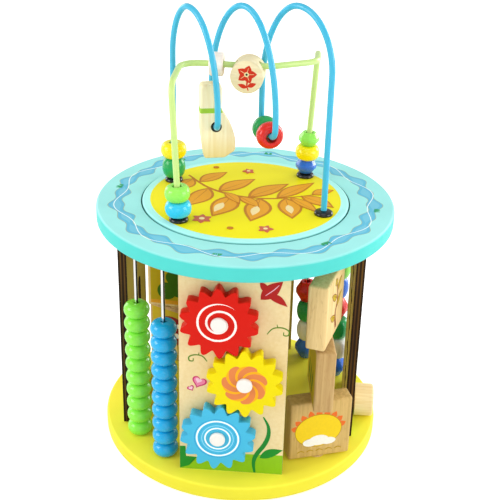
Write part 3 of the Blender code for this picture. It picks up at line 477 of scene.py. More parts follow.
def leaf(start, end, width, lean=0.0, steps=10):
    (x0, y0), (x1, y1) = start, end
    dx, dy = x1 - x0, y1 - y0
    length = math.hypot(dx, dy)
    points = []
    for side in (1, -1):
        for i in range(steps):
            t = i / steps if side > 0 else 1 - i / steps
            swell = side * width / 2 * math.sin(math.pi * t ** 0.85) + lean * math.sin(math.pi * t)
            points.append((x0 + dx * t - dy / length * swell, y0 + dy * t + dx / length * swell))
    return points


def spot(x, y, radius, squash=1.0, count=28):
    ring = [onCircle(radius, fullTurn * i / count) for i in range(count)]
    return [(x + across, y + squash * rise) for across, rise in ring]


def heart(x, y, size, tilt):
    points = []
    for i in range(36):
        t = fullTurn * i / 36
        u = size * math.sin(t) ** 3
        v = size * (0.8125 * math.cos(t) - 0.3125 * math.cos(2 * t) - 0.125 * math.cos(3 * t)
                    - 0.0625 * math.cos(4 * t))
        points.append((x + u * math.cos(tilt) - v * math.sin(tilt),
                       y + u * math.sin(tilt) + v * math.cos(tilt)))
    return points


def flower(x, y, size, petals, petalInk, heartInk, turn=0.0):
    petalWidth, heartRadius = size * 0.62, size * 0.28
    angles = [turn + fullTurn * i / petals for i in range(petals)]
    tips = [(x + size * math.sin(angle), y + size * math.cos(angle)) for angle in angles]
    return [(petalInk, leaf((x, y), tip, petalWidth)) for tip in tips] + [(heartInk, spot(x, y, heartRadius))]


def edgedLeaf(x0, y0, x1, y1, width, ink, edge, lean):
    inset = [(x0 + (x1 - x0) * t, y0 + (y1 - y0) * t) for t in (0.07, 0.93, 0.1, 0.5, 0.8)]
    return [(edge, leaf((x0, y0), (x1, y1), width, lean)), (ink, leaf(inset[0], inset[1], width * 0.8, lean)),
            (edge, stroke(inset[2:], (0.8, 0.5, 0.2)))]


def addStrip(bm, sides, lift, matrix, slot):
    rows = [[bm.verts.new(matrix @ Vector((x * mm, y * mm, level))) for x, y in sides[key]]
            for key, level in (("left", 0.0), ("left", lift), ("right", lift), ("right", 0.0))]
    faces = [bm.faces.new([row[end] for row in rows]) for end in (0, -1)]
    for a, b in zip(rows, rows[1:] + rows[:1]):
        faces += [bm.faces.new((a[i], b[i], b[i + 1], a[i + 1])) for i in range(len(a) - 1)]
    for face in faces:
        face.material_index = slot


def layPrint(name, node, matrix, shapes, body=None):
    bm = bmesh.new()
    inks = list(dict.fromkeys(ink for ink, _ in shapes))
    for order, (ink, shape) in enumerate(shapes):
        lift = (inkSize["firstMm"] + inkSize["stepMm"] * order) * mm
        if isinstance(shape, dict):
            addStrip(bm, shape, lift, matrix, inks.index(ink))
        else:
            faces = addPlate(bm, [(x * mm, y * mm) for x, y in shape], 0.0, lift, matrix, inks.index(ink))
            bmesh.ops.triangulate(bm, faces=faces[:2], ngon_method='EAR_CLIP')
    settle(makeObject(name, bm, [inkMaterial(ink) for ink in inks], 20), node, body, inPlace=False)


# The upright face of a panel or block: X across it, Y up, Z outwards
def uprightFace(azimuth, distance, centre=(0, 0, 0), height=0.0):
    outward = around(azimuth, 1.0)
    place = Vector(centre) + outward * distance + Vector((0, 0, height))
    turn = Matrix((around(azimuth + 90, 1.0), (0, 0, 1), outward)).transposed().to_4x4()
    return Matrix.Translation(place) @ turn


# Base: sprayed MDF, yellow all over

baseSize = {"radius": 0.134, "thickness": 0.015, "edgeRound": 0.0025, "sides": 160}


# Sprayed MDF: a soft satin paint, with the fine stipple of the fibre under it. The top and side colours are
# one
# paint, lit and shaded: a lighter top is painted light and a darker side is painted shade. The side's colour
# fades into the top's just under the top face.
def sprayedBoard(name, topHex, sideHex, topHeight, roughness=0.4):
    material, tree = startMaterial(name, Specular_IOR_Level=0.12)
    here = coordinatesAt(tree)
    height = addNode(tree, "SeparateXYZ", (here,), out="Z")
    isTop = addNode(tree, "MapRange", (height, topHeight - 2.0 * mm, topHeight - 0.4 * mm))
    # painted light and shade: the lit top colour over the shaded side colour of one paint
    paint = addNode(tree, "Mix", {0: isTop, 6: sideHex, 7: topHex}, **asColour)
    cloud = addNode(tree, "TexNoise", {"Vector": here, "Scale": markScale("paintCloud"), "Detail": 3.0})
    dim = addNode(tree, "MapRange", (cloud, 0.0, 1.0, 0.93, 1.03))
    colour = addNode(tree, "VectorMath SCALE", {0: paint, "Scale": dim})
    stipple = addNode(tree, "TexNoise", {"Vector": here, "Scale": markScale("fibreStipple"), "Detail": 2.0})
    finishMaterial(material, colour, stipple, roughness - 0.05, roughness + 0.08, 0.03)
    return material, tree, here, colour


def buildBase():
    thickness, soft = baseSize["thickness"], baseSize["edgeRound"]
    rim = baseSize["radius"] - soft
    profile = [(0, thickness), *roundedCorner(rim, thickness - soft, soft, 90),
               *roundedCorner(rim, soft, soft, 0), (0, 0)]
    # painted light and shade: a lit yellow on top, a darker copy of it on the side
    paint = sprayedBoard("yellow_satin_paint_on_mdf", "#f6ec44", "#e8de3a", thickness)[0]
    turnedPiece("base_disc", profile, baseSize["sides"], Matrix.Identity(4), paint, "frame")


buildBase()


# Ring: turquoise, with a printed river round it, a white line that weaves, and tufts of grass

ringSize = {"radius": 0.135, "bottom": 0.223, "top": 0.238, "hole": 0.0945, "ledge": 0.086,
            "ledgeTop": 0.228, "edgeRound": 0.0025, "innerEdge": 0.0006, "sides": 192}
riverPrint = {"radiusMm": 114.8, "pools": 26, "halfWidthMm": 4.8, "narrowMm": 4.2, "weave": 13,
              "weaveMm": 2.1, "wobbleMm": 0.7, "edgeMm": 0.8, "lineWaves": 10, "lineTurn": 0.9,
              "lineSwingMm": 4.4, "lineMm": 0.75}
tuftPrint = {"places": ((-6.7, 116), (84, 119), (-96.8, 119), (173.3, 117.5), (41, 112), (-141, 113)),
             "blades": 7, "insetMm": 2.5, "pitchMm": 1.1, "longMm": (3.5, 6.0), "leanMm": 1.8}


# The hole's wall and its ledge get painted shade, a dark colour, so that the gap round the lid reads as a
# dark line
def ringMaterial():
    # painted light and shade: the top's pale turquoise is a lit copy of the side's deeper turquoise
    material, tree, here, paint = sprayedBoard("turquoise_satin_paint_and_river_print", "#9fe7e3", "#52cfc6",
                                               ringSize["top"])
    river = riverPrint
    radius, angle = roundPlace(tree, here, level=True)
    offset = chain(tree, radius, ("Math SUBTRACT", river["radiusMm"]))
    wobble = addNode(tree, "TexNoise", {"Vector": here, "Scale": markScale("riverWobble"), "Detail": 1.0})
    wobble = addNode(tree, "MapRange", (wobble, 0.0, 1.0, -river["wobbleMm"], river["wobbleMm"]))
    middle = chain(tree, angle, ("Math MULTIPLY", river["weave"]), ("Math SINE",),
                   ("Math MULTIPLY_ADD", river["weaveMm"], wobble))
    away = chain(tree, offset, ("Math SUBTRACT", middle), ("Math ABSOLUTE",))
    half = chain(tree, angle, ("Math MULTIPLY", river["pools"]), ("Math COSINE",),
                 ("Math MULTIPLY_ADD", -river["narrowMm"] / 2, river["halfWidthMm"]))
    depth = chain(tree, half, ("Math SUBTRACT", away))
    isPrint = chain(tree, depth, ("Math GREATER_THAN", -river["edgeMm"]))
    water = colourBands(tree, depth, -2.0, 4.0, ((-2.0, "#9fae92"), (-0.25, "#60b9d6"), (2.6, "#74c3da")))
    colour = addNode(tree, "Mix", {0: isPrint, 6: paint, 7: water}, **asColour)
    isLine = chain(tree, angle, ("Math MULTIPLY", river["lineWaves"]), ("Math ADD", river["lineTurn"]),
                   ("Math SINE",), ("Math MULTIPLY", river["lineSwingMm"]), ("Math SUBTRACT", offset),
                   ("Math ABSOLUTE",), ("Math LESS_THAN", river["lineMm"] / 2))
    colour = addNode(tree, "Mix", {0: isLine, 6: colour, 7: "#eefcfb"}, **asColour)
    isFace = chain(tree, facingAlong(tree, "Z"), ("Math GREATER_THAN", 0.9))
    colour = addNode(tree, "Mix", {0: isFace, 6: paint, 7: colour}, **asColour)
    # painted shade on the hole's wall and ledge
    inHole = chain(tree, radius, ("Math LESS_THAN", ringSize["hole"] / mm + 0.2))
    return finishMaterial(material, addNode(tree, "Mix", {0: inHole, 6: colour, 7: "#1f4a4c"}, **asColour))


def buildRing():
    size = ringSize
    soft, fine, hole, ledge = size["edgeRound"], size["innerEdge"], size["hole"], size["ledge"]
    rim = size["radius"] - soft
    profile = [*roundedCorner(rim, size["top"] - soft, soft, 90),
               *roundedCorner(rim, size["bottom"] + soft, soft, 0),
               (ledge, size["bottom"]), (ledge, size["ledgeTop"]), (hole, size["ledgeTop"]),
               (hole, size["top"] - fine), (hole + fine, size["top"])]
    turnedPiece("top_ring", profile, size["sides"], Matrix.Identity(4), ringMaterial(), "frame")


def printTufts():
    random.seed(4)
    tuft = tuftPrint
    shapes = []
    for azimuth, radius in tuft["places"]:
        foot = around(azimuth, radius - tuft["insetMm"])
        along, outward = around(azimuth + 90, 1.0), around(azimuth, 1.0)
        for i in range(tuft["blades"]):
            start = foot + along * (i - tuft["blades"] // 2) * tuft["pitchMm"]
            end = start + outward * random.uniform(*tuft["longMm"])
            end += along * random.uniform(-tuft["leanMm"], tuft["leanMm"])
            shapes.append(("grass", leaf((start.x, start.y), (end.x, end.y), 1.0, steps=5)))
    layPrint("grassTufts", "top_ring", Matrix.Translation((0, 0, ringSize["top"])), shapes, "frame")


buildRing()
printTufts()
print("base and ring done")


# Lid: a turquoise rim round a yellow printed disc, with a spray of autumn leaves

lidSize = {"radius": 0.0937, "bottom": 0.2283, "top": 0.2395, "edgeRound": 0.0018, "sides": 160,
           "discRadiusMm": 86.5}
lidTop = lidSize["top"]
# Leaves, their pale spots, blossoms and berries: from where, to where (or how big), how wide
lidPrint = {"stem": [(-58, 46), (-36, 18), (-8, 2), (26, 0), (64, 14)],
            "leaves": ((-52, 38, -68, 8, 18), (-46, 30, -22, 58, 17), (-35, 17, -50, -26, 22),
                       (-26, 10, 6, 44, 20), (-12, 2, -26, -46, 25), (2, 0, 38, 36, 20),
                       (14, -1, 8, -52, 25), (28, 1, 62, 42, 17), (36, 2, 44, -42, 22), (50, 9, 80, -14, 17),
                       (60, 13, 80, 26, 13), (-6, 0, 14, -22, 12), (40, 4, 66, -26, 12),
                       (-20, 8, -4, -16, 11)),
            "pale": ((-19, -16, -25, -36, 8), (12, -20, 9, -40, 8), (39, -14, 43, -32, 7)),
            "flowers": ((-34, -52, 9, 6, 0.0), (22, -66, 7, 5, 0.3), (-2, 62, 6, 5, 0.8)),
            "berries": ((-66, -22), (-8, -68), (52, 56), (-34, 68))}


# Sprayed and printed MDF: a satin yellow field with a slow sweep of tone, inside a turquoise rim
def lidMaterial():
    # painted light and shade: the rim's pale top is a lit copy of its darker turquoise side
    material, tree, here, paint = sprayedBoard("turquoise_rim_and_yellow_print", "#aef2ec", "#4fa9a6", lidTop)
    radius, _ = roundPlace(tree, here, level=True)
    inside = chain(tree, radius, ("Math LESS_THAN", lidSize["discRadiusMm"]))
    sweep = addNode(tree, "TexNoise", {"Vector": here, "Scale": markScale("printSweep"), "Detail": 2.0})
    yellow = addNode(tree, "Mix", {0: sweep, 6: "#eadc0c", 7: "#efe61a"}, **asColour)
    return finishMaterial(material, addNode(tree, "Mix", {0: inside, 6: paint, 7: yellow}, **asColour))


def buildLid():
    radius, bottom, soft = lidSize["radius"], lidSize["bottom"], lidSize["edgeRound"]
    profile = [(0, lidTop), *roundedCorner(radius - soft, lidTop - soft, soft, 90), (radius, bottom),
               (0, bottom)]
    turnedPiece("maze_lid", profile, lidSize["sides"], Matrix.Identity(4), lidMaterial(), "lid")
    shapes = [("deepOrange", stroke(lidPrint["stem"], (2.0, 4.4, 1.6)))]
    for place in lidPrint["leaves"]:
        shapes += edgedLeaf(*place, "orange", "deepOrange", 1.5)
    shapes += [("cream", leaf((x0, y0), (x1, y1), width)) for x0, y0, x1, y1, width in lidPrint["pale"]]
    for x, y, size, petals, turn in lidPrint["flowers"]:
        shapes += flower(x, y, size, petals, "coral", "cream", turn)
    shapes += [("deepOrange", spot(x, y, 2.8, 0.8)) for x, y in lidPrint["berries"]]
    layPrint("leafPrint", "maze_lid", Matrix.Translation((0, 0, lidTop)), shapes, "lid")


buildLid()
print("lid done")


# Panels: the CAD boards, with prints on their outer faces

# Where the outer face is, the board's thickness, half its width, and where its print and its bare inner
# side begin. A surface that faces less to the front than edgeFacing is a cut edge.
panelSize = {"face": 0.1105, "thickness": 0.008, "halfMm": 46.6, "footMm": 15.1, "innerMm": 4.0, "plyMm": 1.6,
             "edgeFacing": 0.5}
panelFace = panelSize["face"]


# Laser-cut plywood: primed cream outside, painted shade tinted by light bounced off the yellow base inside,
# dark scorched edges that show the plies
def panelMaterial(name, azimuth):
    material, tree = startMaterial(name, Specular_IOR_Level=0.12)
    turn = math.radians(azimuth)
    here = coordinatesAt(tree, turn=turn)
    depth = addNode(tree, "SeparateXYZ", (here,), out="Y")
    normal = addNode(tree, "NewGeometry", out="True Normal")
    turned = addNode(tree, "VectorRotate", {"Vector": normal, "Angle": -turn}, rotation_type='Z_AXIS')
    isEdge = chain(tree, addNode(tree, "SeparateXYZ", (turned,), out="Y"), ("Math ABSOLUTE",),
                   ("Math LESS_THAN", panelSize["edgeFacing"]))
    pores = addNode(tree, "TexNoise", {"Vector": here, "Scale": markScale("plywoodPore"), "Detail": 4.0})
    face = addNode(tree, "Mix", {0: pores, 6: "#e3c98e", 7: "#f2dfae"}, **asColour)
    stretched = chain(tree, here, ("VectorMath MULTIPLY", (90, 90, 6)))      # scorch marks 11 mm wide
    scorch = addNode(tree, "TexNoise", {"Vector": stretched, "Scale": 1.0, "Detail": 3.0})
    mixed = chain(tree, depth, ("Math MULTIPLY", math.pi / (panelSize["plyMm"] * mm)), ("Math SINE",),
                  ("Math MULTIPLY_ADD", 0.25, scorch))
    edge = colourBands(tree, mixed, 0.1, 0.9, ((0.1, "#130b05"), (0.55, "#3a2610"), (0.9, "#7f5b26")),
                       soft=True)
    # painted shade: the inner side is olive yellow, as in shade with light bounced from the base
    inside = chain(tree, depth, ("Math GREATER_THAN", panelSize["innerMm"] * mm - panelFace))
    face = addNode(tree, "Mix", {0: inside, 6: face, 7: "#cdb55e"}, **asColour)
    colour = addNode(tree, "Mix", {0: isEdge, 6: face, 7: edge}, **asColour)
    return finishMaterial(material, colour, pores, 0.5, 0.7, 0.04)


def curl(x, y, size, flip=1):
    points, shoot = ([(x + flip * size * across, y + size * rise) for across, rise in line] for line in (
        ((0, 0), (0.35, 0.42), (0.9, 0.5), (1.3, 0.3), (1.28, 0), (1.02, -0.02), (1, 0.2)),
        ((0.62, 0.48), (0.58, 0.72))))
    return [("curlGreen", stroke(points, (0.8, 1.7, 0.7))), ("curlGreen", stroke(shoot, (1.0, 0.8, 0.3)))]


# A hill along the foot of a panel. The heights go from its right edge over the points to its left edge.
def hill(right, points, left):
    edge, foot = panelSize["halfMm"], panelSize["footMm"]
    return ("hillGreen", [(-edge, foot), (edge, foot), *smoothPath([(edge, right), *points, (-edge, left)])])


def printFrontPanel():
    edge = panelSize["halfMm"]
    shapes = [hill(36.5, ((30, 36), (13.7, 35.4), (-10, 33), (-30, 29)), 26),
              ("leafGreen", [(-edge, 15.4), (-edge, 40.1), (-41.4, 40.4), (-41, 29.2), (-31, 28.7),
                             (-35.6, 23.2), (-38.2, 18.8)]),
              ("stemGreen", stroke([(27.9, 77.5), (32.4, 68), (33.0, 58), (29.8, 47.8), (22.5, 35),
                                    (20.4, 26), (21.7, 15.4)], (1.0, 7.0, 1.8))),
              ("leafGreen", leaf((25.7, 32.3), (46.4, 42.5), 9.0, lean=1.2)),
              *curl(28.4, 162.9, 14), *curl(-22.3, 132.1, 12, -1)]
    shapes += [(ink, heart(*place)) for ink, *place in (
        ("rose", -29.2, 110.5, 6.6, -0.35), ("pink", -29.2, 110.7, 5.2, -0.35),
        ("palePink", -29.6, 112.0, 2.8, -0.35), ("rose", -36.4, 103.6, 3.2, 0.5),
        ("palePink", -36.4, 103.7, 2.0, 0.5))]
    shapes += [("darkRed", leaf((22, 196), (40, 214), 12)),
               ("darkRed", leaf((27, 201), (44.5, 190.5), 7, lean=1.5)),
               ("darkRed", leaf((28, 203), (21, 213), 6)),
               ("palePink", stroke([(26, 200), (33, 206), (37, 210.5)], (0.4, 1.0, 0.3)))]
    layPrint("frontPanelPrint", "front_panel", uprightFace(0, panelFace), shapes, "frame")


# The sides that the photograph doesn't show: the same meadow, kept clear of the tracks
def printSidePanel(node, azimuth, keepClear):
    shapes = [hill(27, ((20, 30), (-14, 24)), 30)]
    for x in (-40, -33, 33, 40):
        if abs(x - keepClear) > 20:
            shapes.append(("leafGreen", leaf((x, 18), (x + (4 if x < 0 else -4), 52), 7, lean=1.0)))
    shapes += curl(26, 196, 12) + curl(-26, 186, 12, -1)
    shapes += flower(-37, 96, 6, 5, "rose", "palePink") + flower(38, 120, 6, 5, "orange", "cream", 0.4)
    layPrint(pieceName(node) + "Print", node, uprightFace(azimuth, panelFace), shapes, "frame")


for panel, azimuth in (("front_panel", 0), ("right_panel", 90), ("back_panel", 180), ("left_panel", -90)):
    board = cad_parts[panel]
    board.data.materials.clear()
    board.data.materials.append(panelMaterial("laser_cut_plywood_" + panel, azimuth))
printFrontPanel()
printSidePanel("right_panel", 90, -7)
printSidePanel("left_panel", -90, -12)
print("panels done")


# Gears: MDF wheels, sprayed, each with its own printed figure, on white-capped pegs

gearSize = {"teeth": 14, "tipRadius": 0.0334, "toothDepth": 0.0071, "bluntness": 0.9, "thickness": 0.010,
            "boreRadius": 0.0054, "edgeRound": 0.0011, "backFace": -0.1135, "firstTurn": -1.8}
gearPlaces = {"red_gear": (-0.0113, 0.1773819), "yellow_gear": (0.0113, 0.119),
              "blue_gear": (-0.0113, 0.0606181)}
spiralPrint = {"outerMm": 19.6, "pitchMm": 7.4, "lineMm": 1.9, "rough": 0.05}
swirlPrint = {"blades": 7, "bendPerMm": -0.014, "rib": 0.29, "outerMm": 19.9, "scallopMm": 2.4}
pegSize = {"axle": 0.005, "cap": 0.0068, "capFront": 0.0158, "capBack": 0.0133, "shoulder": 0.0085,
           "shoulderFront": 0.0027, "tail": 0.008, "edgeRound": 0.0009, "sides": 48}


# Turned so that the teeth of each wheel fall between those of the one before
def gearPhases():
    names = list(gearPlaces)
    phases = {names[0]: math.radians(gearSize["firstTurn"])}
    for before, after in zip(names, names[1:]):
        (x0, z0), (x1, z1) = gearPlaces[before], gearPlaces[after]
        line = math.atan2(x1 - x0, z1 - z0)
        phases[after] = 2 * line + math.pi - phases[before] + math.pi / gearSize["teeth"]
    return phases


def startGear(name, hexText, place):
    material, tree, here, paint = sprayedBoard(name, hexText, hexText, 1.0, roughness=0.34)
    radius, angle = roundPlace(tree, coordinatesAt(tree, (place[0], 0, place[1])))
    turns = chain(tree, angle, ("Math MULTIPLY", 1 / fullTurn))
    onFace = chain(tree, facingAlong(tree, "Y"), ("Math LESS_THAN", -0.95))
    return material, tree, here, paint, radius, turns, onFace


# Red: a white spiral that opens anticlockwise, drawn with a dry brush
def redGearMaterial(place):
    material, tree, here, paint, radius, turns, onFace = startGear("red_sprayed_mdf", "#d01707", place)
    outer, pitch, rough = spiralPrint["outerMm"], spiralPrint["pitchMm"], spiralPrint["rough"]
    brush = addNode(tree, "TexNoise", {"Vector": here, "Scale": markScale("dryBrush"), "Detail": 2.0})
    brush = addNode(tree, "MapRange", (brush, 0.0, 1.0, -rough, rough))
    onLine = chain(tree, outer, ("Math SUBTRACT", radius), ("Math DIVIDE", pitch), ("Math ADD", turns),
                   ("Math FRACT",), ("Math SUBTRACT", 0.5), ("Math ABSOLUTE",), ("Math ADD", brush),
                   ("Math GREATER_THAN", 0.5 - spiralPrint["lineMm"] / 2 / pitch))
    inside = chain(tree, radius, ("Math LESS_THAN", outer))
    mask = chain(tree, onLine, ("Math MULTIPLY", inside), ("Math MULTIPLY", onFace))
    return finishMaterial(material, addNode(tree, "Mix", {0: mask, 6: paint, 7: "#fbeee6"}, **asColour))


# Yellow: seven curved brown blades between orange ribs
def yellowGearMaterial(place):
    material, tree, _, paint, radius, turns, onFace = startGear("yellow_sprayed_mdf", "#e8d604", place)
    swirl = swirlPrint
    phase = chain(tree, radius, ("Math MULTIPLY_ADD", swirl["bendPerMm"], turns),
                  ("Math MULTIPLY", swirl["blades"]), ("Math FRACT",))
    isRib = chain(tree, phase, ("Math LESS_THAN", swirl["rib"]))
    reach = chain(tree, phase, ("Math MULTIPLY", math.pi), ("Math SINE",),
                  ("Math MULTIPLY_ADD", swirl["scallopMm"], swirl["outerMm"] - swirl["scallopMm"]))
    mask = chain(tree, radius, ("Math LESS_THAN", reach), ("Math MULTIPLY", onFace))
    blades = addNode(tree, "Mix", {0: isRib, 6: "#da7f45", 7: "#f6ab1c"}, **asColour)
    return finishMaterial(material, addNode(tree, "Mix", {0: mask, 6: paint, 7: blades}, **asColour))


# Blue: two white rings with thin paler and darker rings between them
def blueGearMaterial(place):
    blue, white, pale, dark = "#46b3d6", "#eefaff", "#9fdcf5", "#2e8cc4"
    material, tree, _, paint, radius, _, onFace = startGear("blue_sprayed_mdf", blue, place)
    rings = colourBands(tree, radius, 0.0, 25.0, (
        (0.0, blue), (10.3, white), (11.7, blue), (13.6, pale), (14.1, blue), (15.9, dark), (16.3, blue),
        (17.6, white), (19.1, blue), (20.2, dark), (20.7, blue)))
    return finishMaterial(material, addNode(tree, "Mix", {0: onFace, 6: paint, 7: rings}, **asColour))


gearFinishes = {"red_gear": redGearMaterial, "yellow_gear": yellowGearMaterial, "blue_gear": blueGearMaterial}
pegPaint = lacquerMaterial("white_lacquered_dowel", "#ebe8e0", shade=0.93, roughness=0.3)


def buildPeg(node, x, z):
    axle, cap, shoulder, front, back, step, tail, soft = (pegSize[key] for key in (
        "axle", "cap", "shoulder", "capFront", "capBack", "shoulderFront", "tail", "edgeRound"))
    profile = [(0, front), *roundedCorner(cap - soft, front - soft, soft, 90, 4), (cap, back), (axle, back),
               (axle, step), (shoulder, step), (shoulder, gap), (axle, gap), (axle, -tail), (0, -tail)]
    turnedPiece(node, profile, pegSize["sides"], facing((0, -1, 0), (x, -panelFace, z)), pegPaint, "frame")


def buildGears():
    size = gearSize
    phases = gearPhases()
    for node, (x, z) in gearPlaces.items():
        wheel = makeObject(node + "Wheel", bmesh.new(), [])
        runTree(wheel, gearTree, Teeth=size["teeth"], TipRadius=size["tipRadius"],
                ToothDepth=size["toothDepth"], Bluntness=size["bluntness"], Thickness=size["thickness"],
                BoreRadius=size["boreRadius"], Phase=phases[node], Finish=gearFinishes[node]((x, z)))
        wheel.data.transform(upright((x, size["backFace"], z), 0))
        softenEdges(wheel, size["edgeRound"], angle=60)
        settle(wheel, node)
        buildPeg(node + "_peg", x, z)


buildGears()
print("gears done")


# Abacus: lacquered beads on chrome rods

rodSpan, rodSides = (0.007, 0.231), 32
abacusSize = {"place": 0.1097, "rod": 0.0017, "bead": 0.0118, "height": 0.01395, "pitch": 0.01425,
              "first": 0.022275, "bore": 0.0024, "stacked": 8, "count": 10, "sides": 36}
abacusRods = {"green": (-57.0, "#8ff04a"), "blue": (-35.0, "#1cb0e8")}
beadShape = {"steps": 12, "fullness": 0.35, "soft": 0.0006}
chrome = chromeMaterial("chrome_plated_steel_rod")


# A bead's profile: a full barrel with a small flat where it meets the next one
def beadProfile(radius, height, bore):
    steps, soft, half = beadShape["steps"], beadShape["soft"], height / 2
    face = bore + (radius - bore) * beadShape["fullness"]
    arc = [onCircle(1.0, math.pi / 2 - math.pi * i / steps) for i in range(steps + 1)]
    barrel = [(face + (radius - face) * across, half * rise) for across, rise in arc]
    return [(bore, half - soft), (bore + soft, half), *barrel, (bore + soft, -half), (bore, soft - half)]


def buildRod(node, place, radius):
    low, high = rodSpan
    profile = [(0, high), (radius, high), (radius, low), (0, low)]
    turnedPiece(node, profile, rodSides, Matrix.Translation(place), chrome, "frame")


def buildAbacus():
    size = abacusSize
    profile = beadProfile(size["bead"], size["height"], size["bore"])
    for key, (azimuth, hexText) in abacusRods.items():
        paint = lacquerMaterial(key + "_lacquered_abacus_bead", hexText)
        buildRod(key + "_abacus_rod", around(azimuth, size["place"]), size["rod"])
        bm = bmesh.new()
        lowest = around(azimuth, size["place"], size["first"])
        addTurned(bm, profile, size["sides"], Matrix.Translation(lowest))
        stack = makeObject(key + "BeadStack", bm, [paint])
        runTree(stack, columnTree, Count=size["stacked"], Pitch=size["pitch"], Finish=paint)
        settle(stack, key + "_bead_stack")
        for i in range(size["stacked"], size["count"]):
            place = around(azimuth, size["place"], size["first"] + size["pitch"] * i)
            turnedPiece("%s_bead_%d" % (key, i + 1), profile, size["sides"], Matrix.Translation(place), paint)


buildAbacus()
print("abacus done")


# Spinning blocks: sanded beech with eased edges, each turned a little way on its rod

spinnerSize = {"rod": 0.003, "washer": 0.008, "washerThickness": 0.0014, "washerEdge": 0.0003, "sides": 40}
blockSize = {"width": 0.059, "depth": 0.0175, "height": 0.061833, "edgeRound": 0.0022, "bore": 0.0034}
blockTurns = {"front": (19.0, 96.5, 75.0), "back": (-26.0, -6.0, -48.0)}
spinnerPlaces = {"front": around(45.8, 0.1071), "back": around(-135.0, 0.1055)}
blockWoods = (("#d6b570", "#bb9955"), ("#c7a66c", "#ae8955"), ("#e9cd91", "#d5b475"))
washerWood = beechMaterial("beech_washer", light="#ddc190")


def buildBlock(node, place, low, azimuth, material):
    width, depth, height = (blockSize[key] for key in ("width", "depth", "height"))
    middle = Matrix.Translation(place + Vector((0, 0, low + height / 2)))
    turn = Matrix.Rotation(math.radians(azimuth), 4, 'Z')
    bm = bmesh.new()
    bmesh.ops.create_cube(bm, size=1.0, matrix=middle @ turn @ Matrix.Diagonal((width, depth, height, 1.0)))
    block = makeObject(pieceName(node), bm, [material])
    softenEdges(block, blockSize["edgeRound"], segments=4)
    drill(block, blockSize["bore"], Matrix.Translation(place), 1.0)
    settle(block, node)


def buildSpinners():
    size = spinnerSize
    rod, washer, thickness, soft = size["rod"], size["washer"], size["washerThickness"], size["washerEdge"]
    profile = [(rod, thickness), *roundedCorner(washer - soft, thickness - soft, soft, 90, 2),
               *roundedCorner(washer - soft, soft, soft, 0, 2), (rod, 0)]
    for key, turns in blockTurns.items():
        place = spinnerPlaces[key]
        buildRod(key + "_spinner_rod", place, rod)
        nodes = ["%s_block_%d" % (key, i + 1) for i in range(3)]
        lows = [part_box(node)[0].z for node in nodes]
        bm = bmesh.new()
        lowest = place + Vector((0, 0, lows[0] - gap - thickness))
        addTurned(bm, profile, size["sides"], Matrix.Translation(lowest))
        washers = makeObject(key + "SpinnerWashers", bm, [washerWood])
        runTree(washers, columnTree, Count=3, Pitch=lows[1] - lows[0], Finish=washerWood)
        settle(washers, key + "_spinner_rod", "frame", inPlace=False)
        for i, node in enumerate(nodes):
            light, dark = blockWoods[(i + (key == "back")) % 3]
            grain = beechMaterial("sanded_beech_" + node, tuple(place + Vector((0.01 * i, 0, 0))),
                                  math.radians(turns[i]), light, dark)
            buildBlock(node, place, lows[i], turns[i], grain)


def printBlock(name, key, index, shapes, behind=0):
    node = "%s_block_%d" % (key, index + 1)
    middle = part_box(node)[0].z + blockSize["height"] / 2
    face = uprightFace(blockTurns[key][index] + behind, blockSize["depth"] / 2, spinnerPlaces[key], middle)
    layPrint(name, node, face, shapes)


# At the front, a sun with rays and a white cloud on the lowest block, grass on the far face of the middle
# one, a twig on the highest one. The blocks at the back have a whole face printed: a red toadstool cap on
# the lowest one, bushes on the others.
def printBlocks():
    sun = []
    for i in range(9):
        angle = math.radians(-76 + 19 * i)
        sun.append(("ray", leaf((-2 + 20 * math.sin(angle), 14 * math.cos(angle) - 1),
                                (-2 + 27 * math.sin(angle), 24 * math.cos(angle) - 1), 6.0)))
    sun += [(ink, spot(*place)) for ink, *place in (
        ("sunEdge", -2, -1, 22.6, 0.8), ("sun", -2, -1, 22.0, 0.79), ("sunEdge", -9, -13.8, 7.9, 0.6),
        ("white", -9, -13.8, 7.4, 0.58), ("white", -1, -12, 9.5, 0.6), ("white", 8, -14, 7.4, 0.52))]
    sun += [("sunEdge", stroke([(x - 3.4, -24), (x, -22.4), (x + 3.4, -24)], (0.6, 1.0, 0.6)))
            for x in (-18, -9, 0, 9, 18)]
    printBlock("sunPrint", "front", 0, sun)
    twig = [("brown", stroke([(6, -25), (1, -10), (6, 5), (1, 24)], (5.0, 3.6, 1.4)))]
    for place in ((3, -14, -16, -4), (3, -4, 20, 6), (4, 6, -14, 16), (3, 12, 17, 22), (2, 20, -4, 28)):
        twig += edgedLeaf(*place, 7.0, "olive", "brown", 0.8)
    printBlock("twigPrint", "front", 2, twig)
    wide, high = 26.2, 27.4
    field = ("olive", [(-wide, -high), (wide, -high), (wide, high), (-wide, high)])
    bush = [field, *(("forest", spot(*place)) for place in (
        (4, -6, 12.5), (-9, -12, 10), (15, -14, 9), (-2, 4, 8))),
            ("orange", [(-wide, -high), (wide, -high), (wide, -22), (-wide, -23.5)])]
    cap = [field, ("maroon", spot(0, 4, 21, 0.8)),
           *(("white", spot(*place)) for place in ((-8, 8, 3.4), (7, 11, 2.6), (5, -1, 3.0))),
           ("cream", [(-6, -24), (6, -24), (5, -8), (-5, -8)])]
    for i, shapes in enumerate((cap, bush, bush)):
        printBlock("fieldPrint%d" % (i + 1), "back", i, shapes)
    meadow = [field] + [("forest", leaf((x, -24), (x + 5, 4), 6.0)) for x in (-16, -4, 8)]
    printBlock("meadowPrint", "front", 1, meadow, behind=180)


buildSpinners()
printBlocks()
print("spinning blocks done")


# Bead strings: two wavy wires in the back right bay

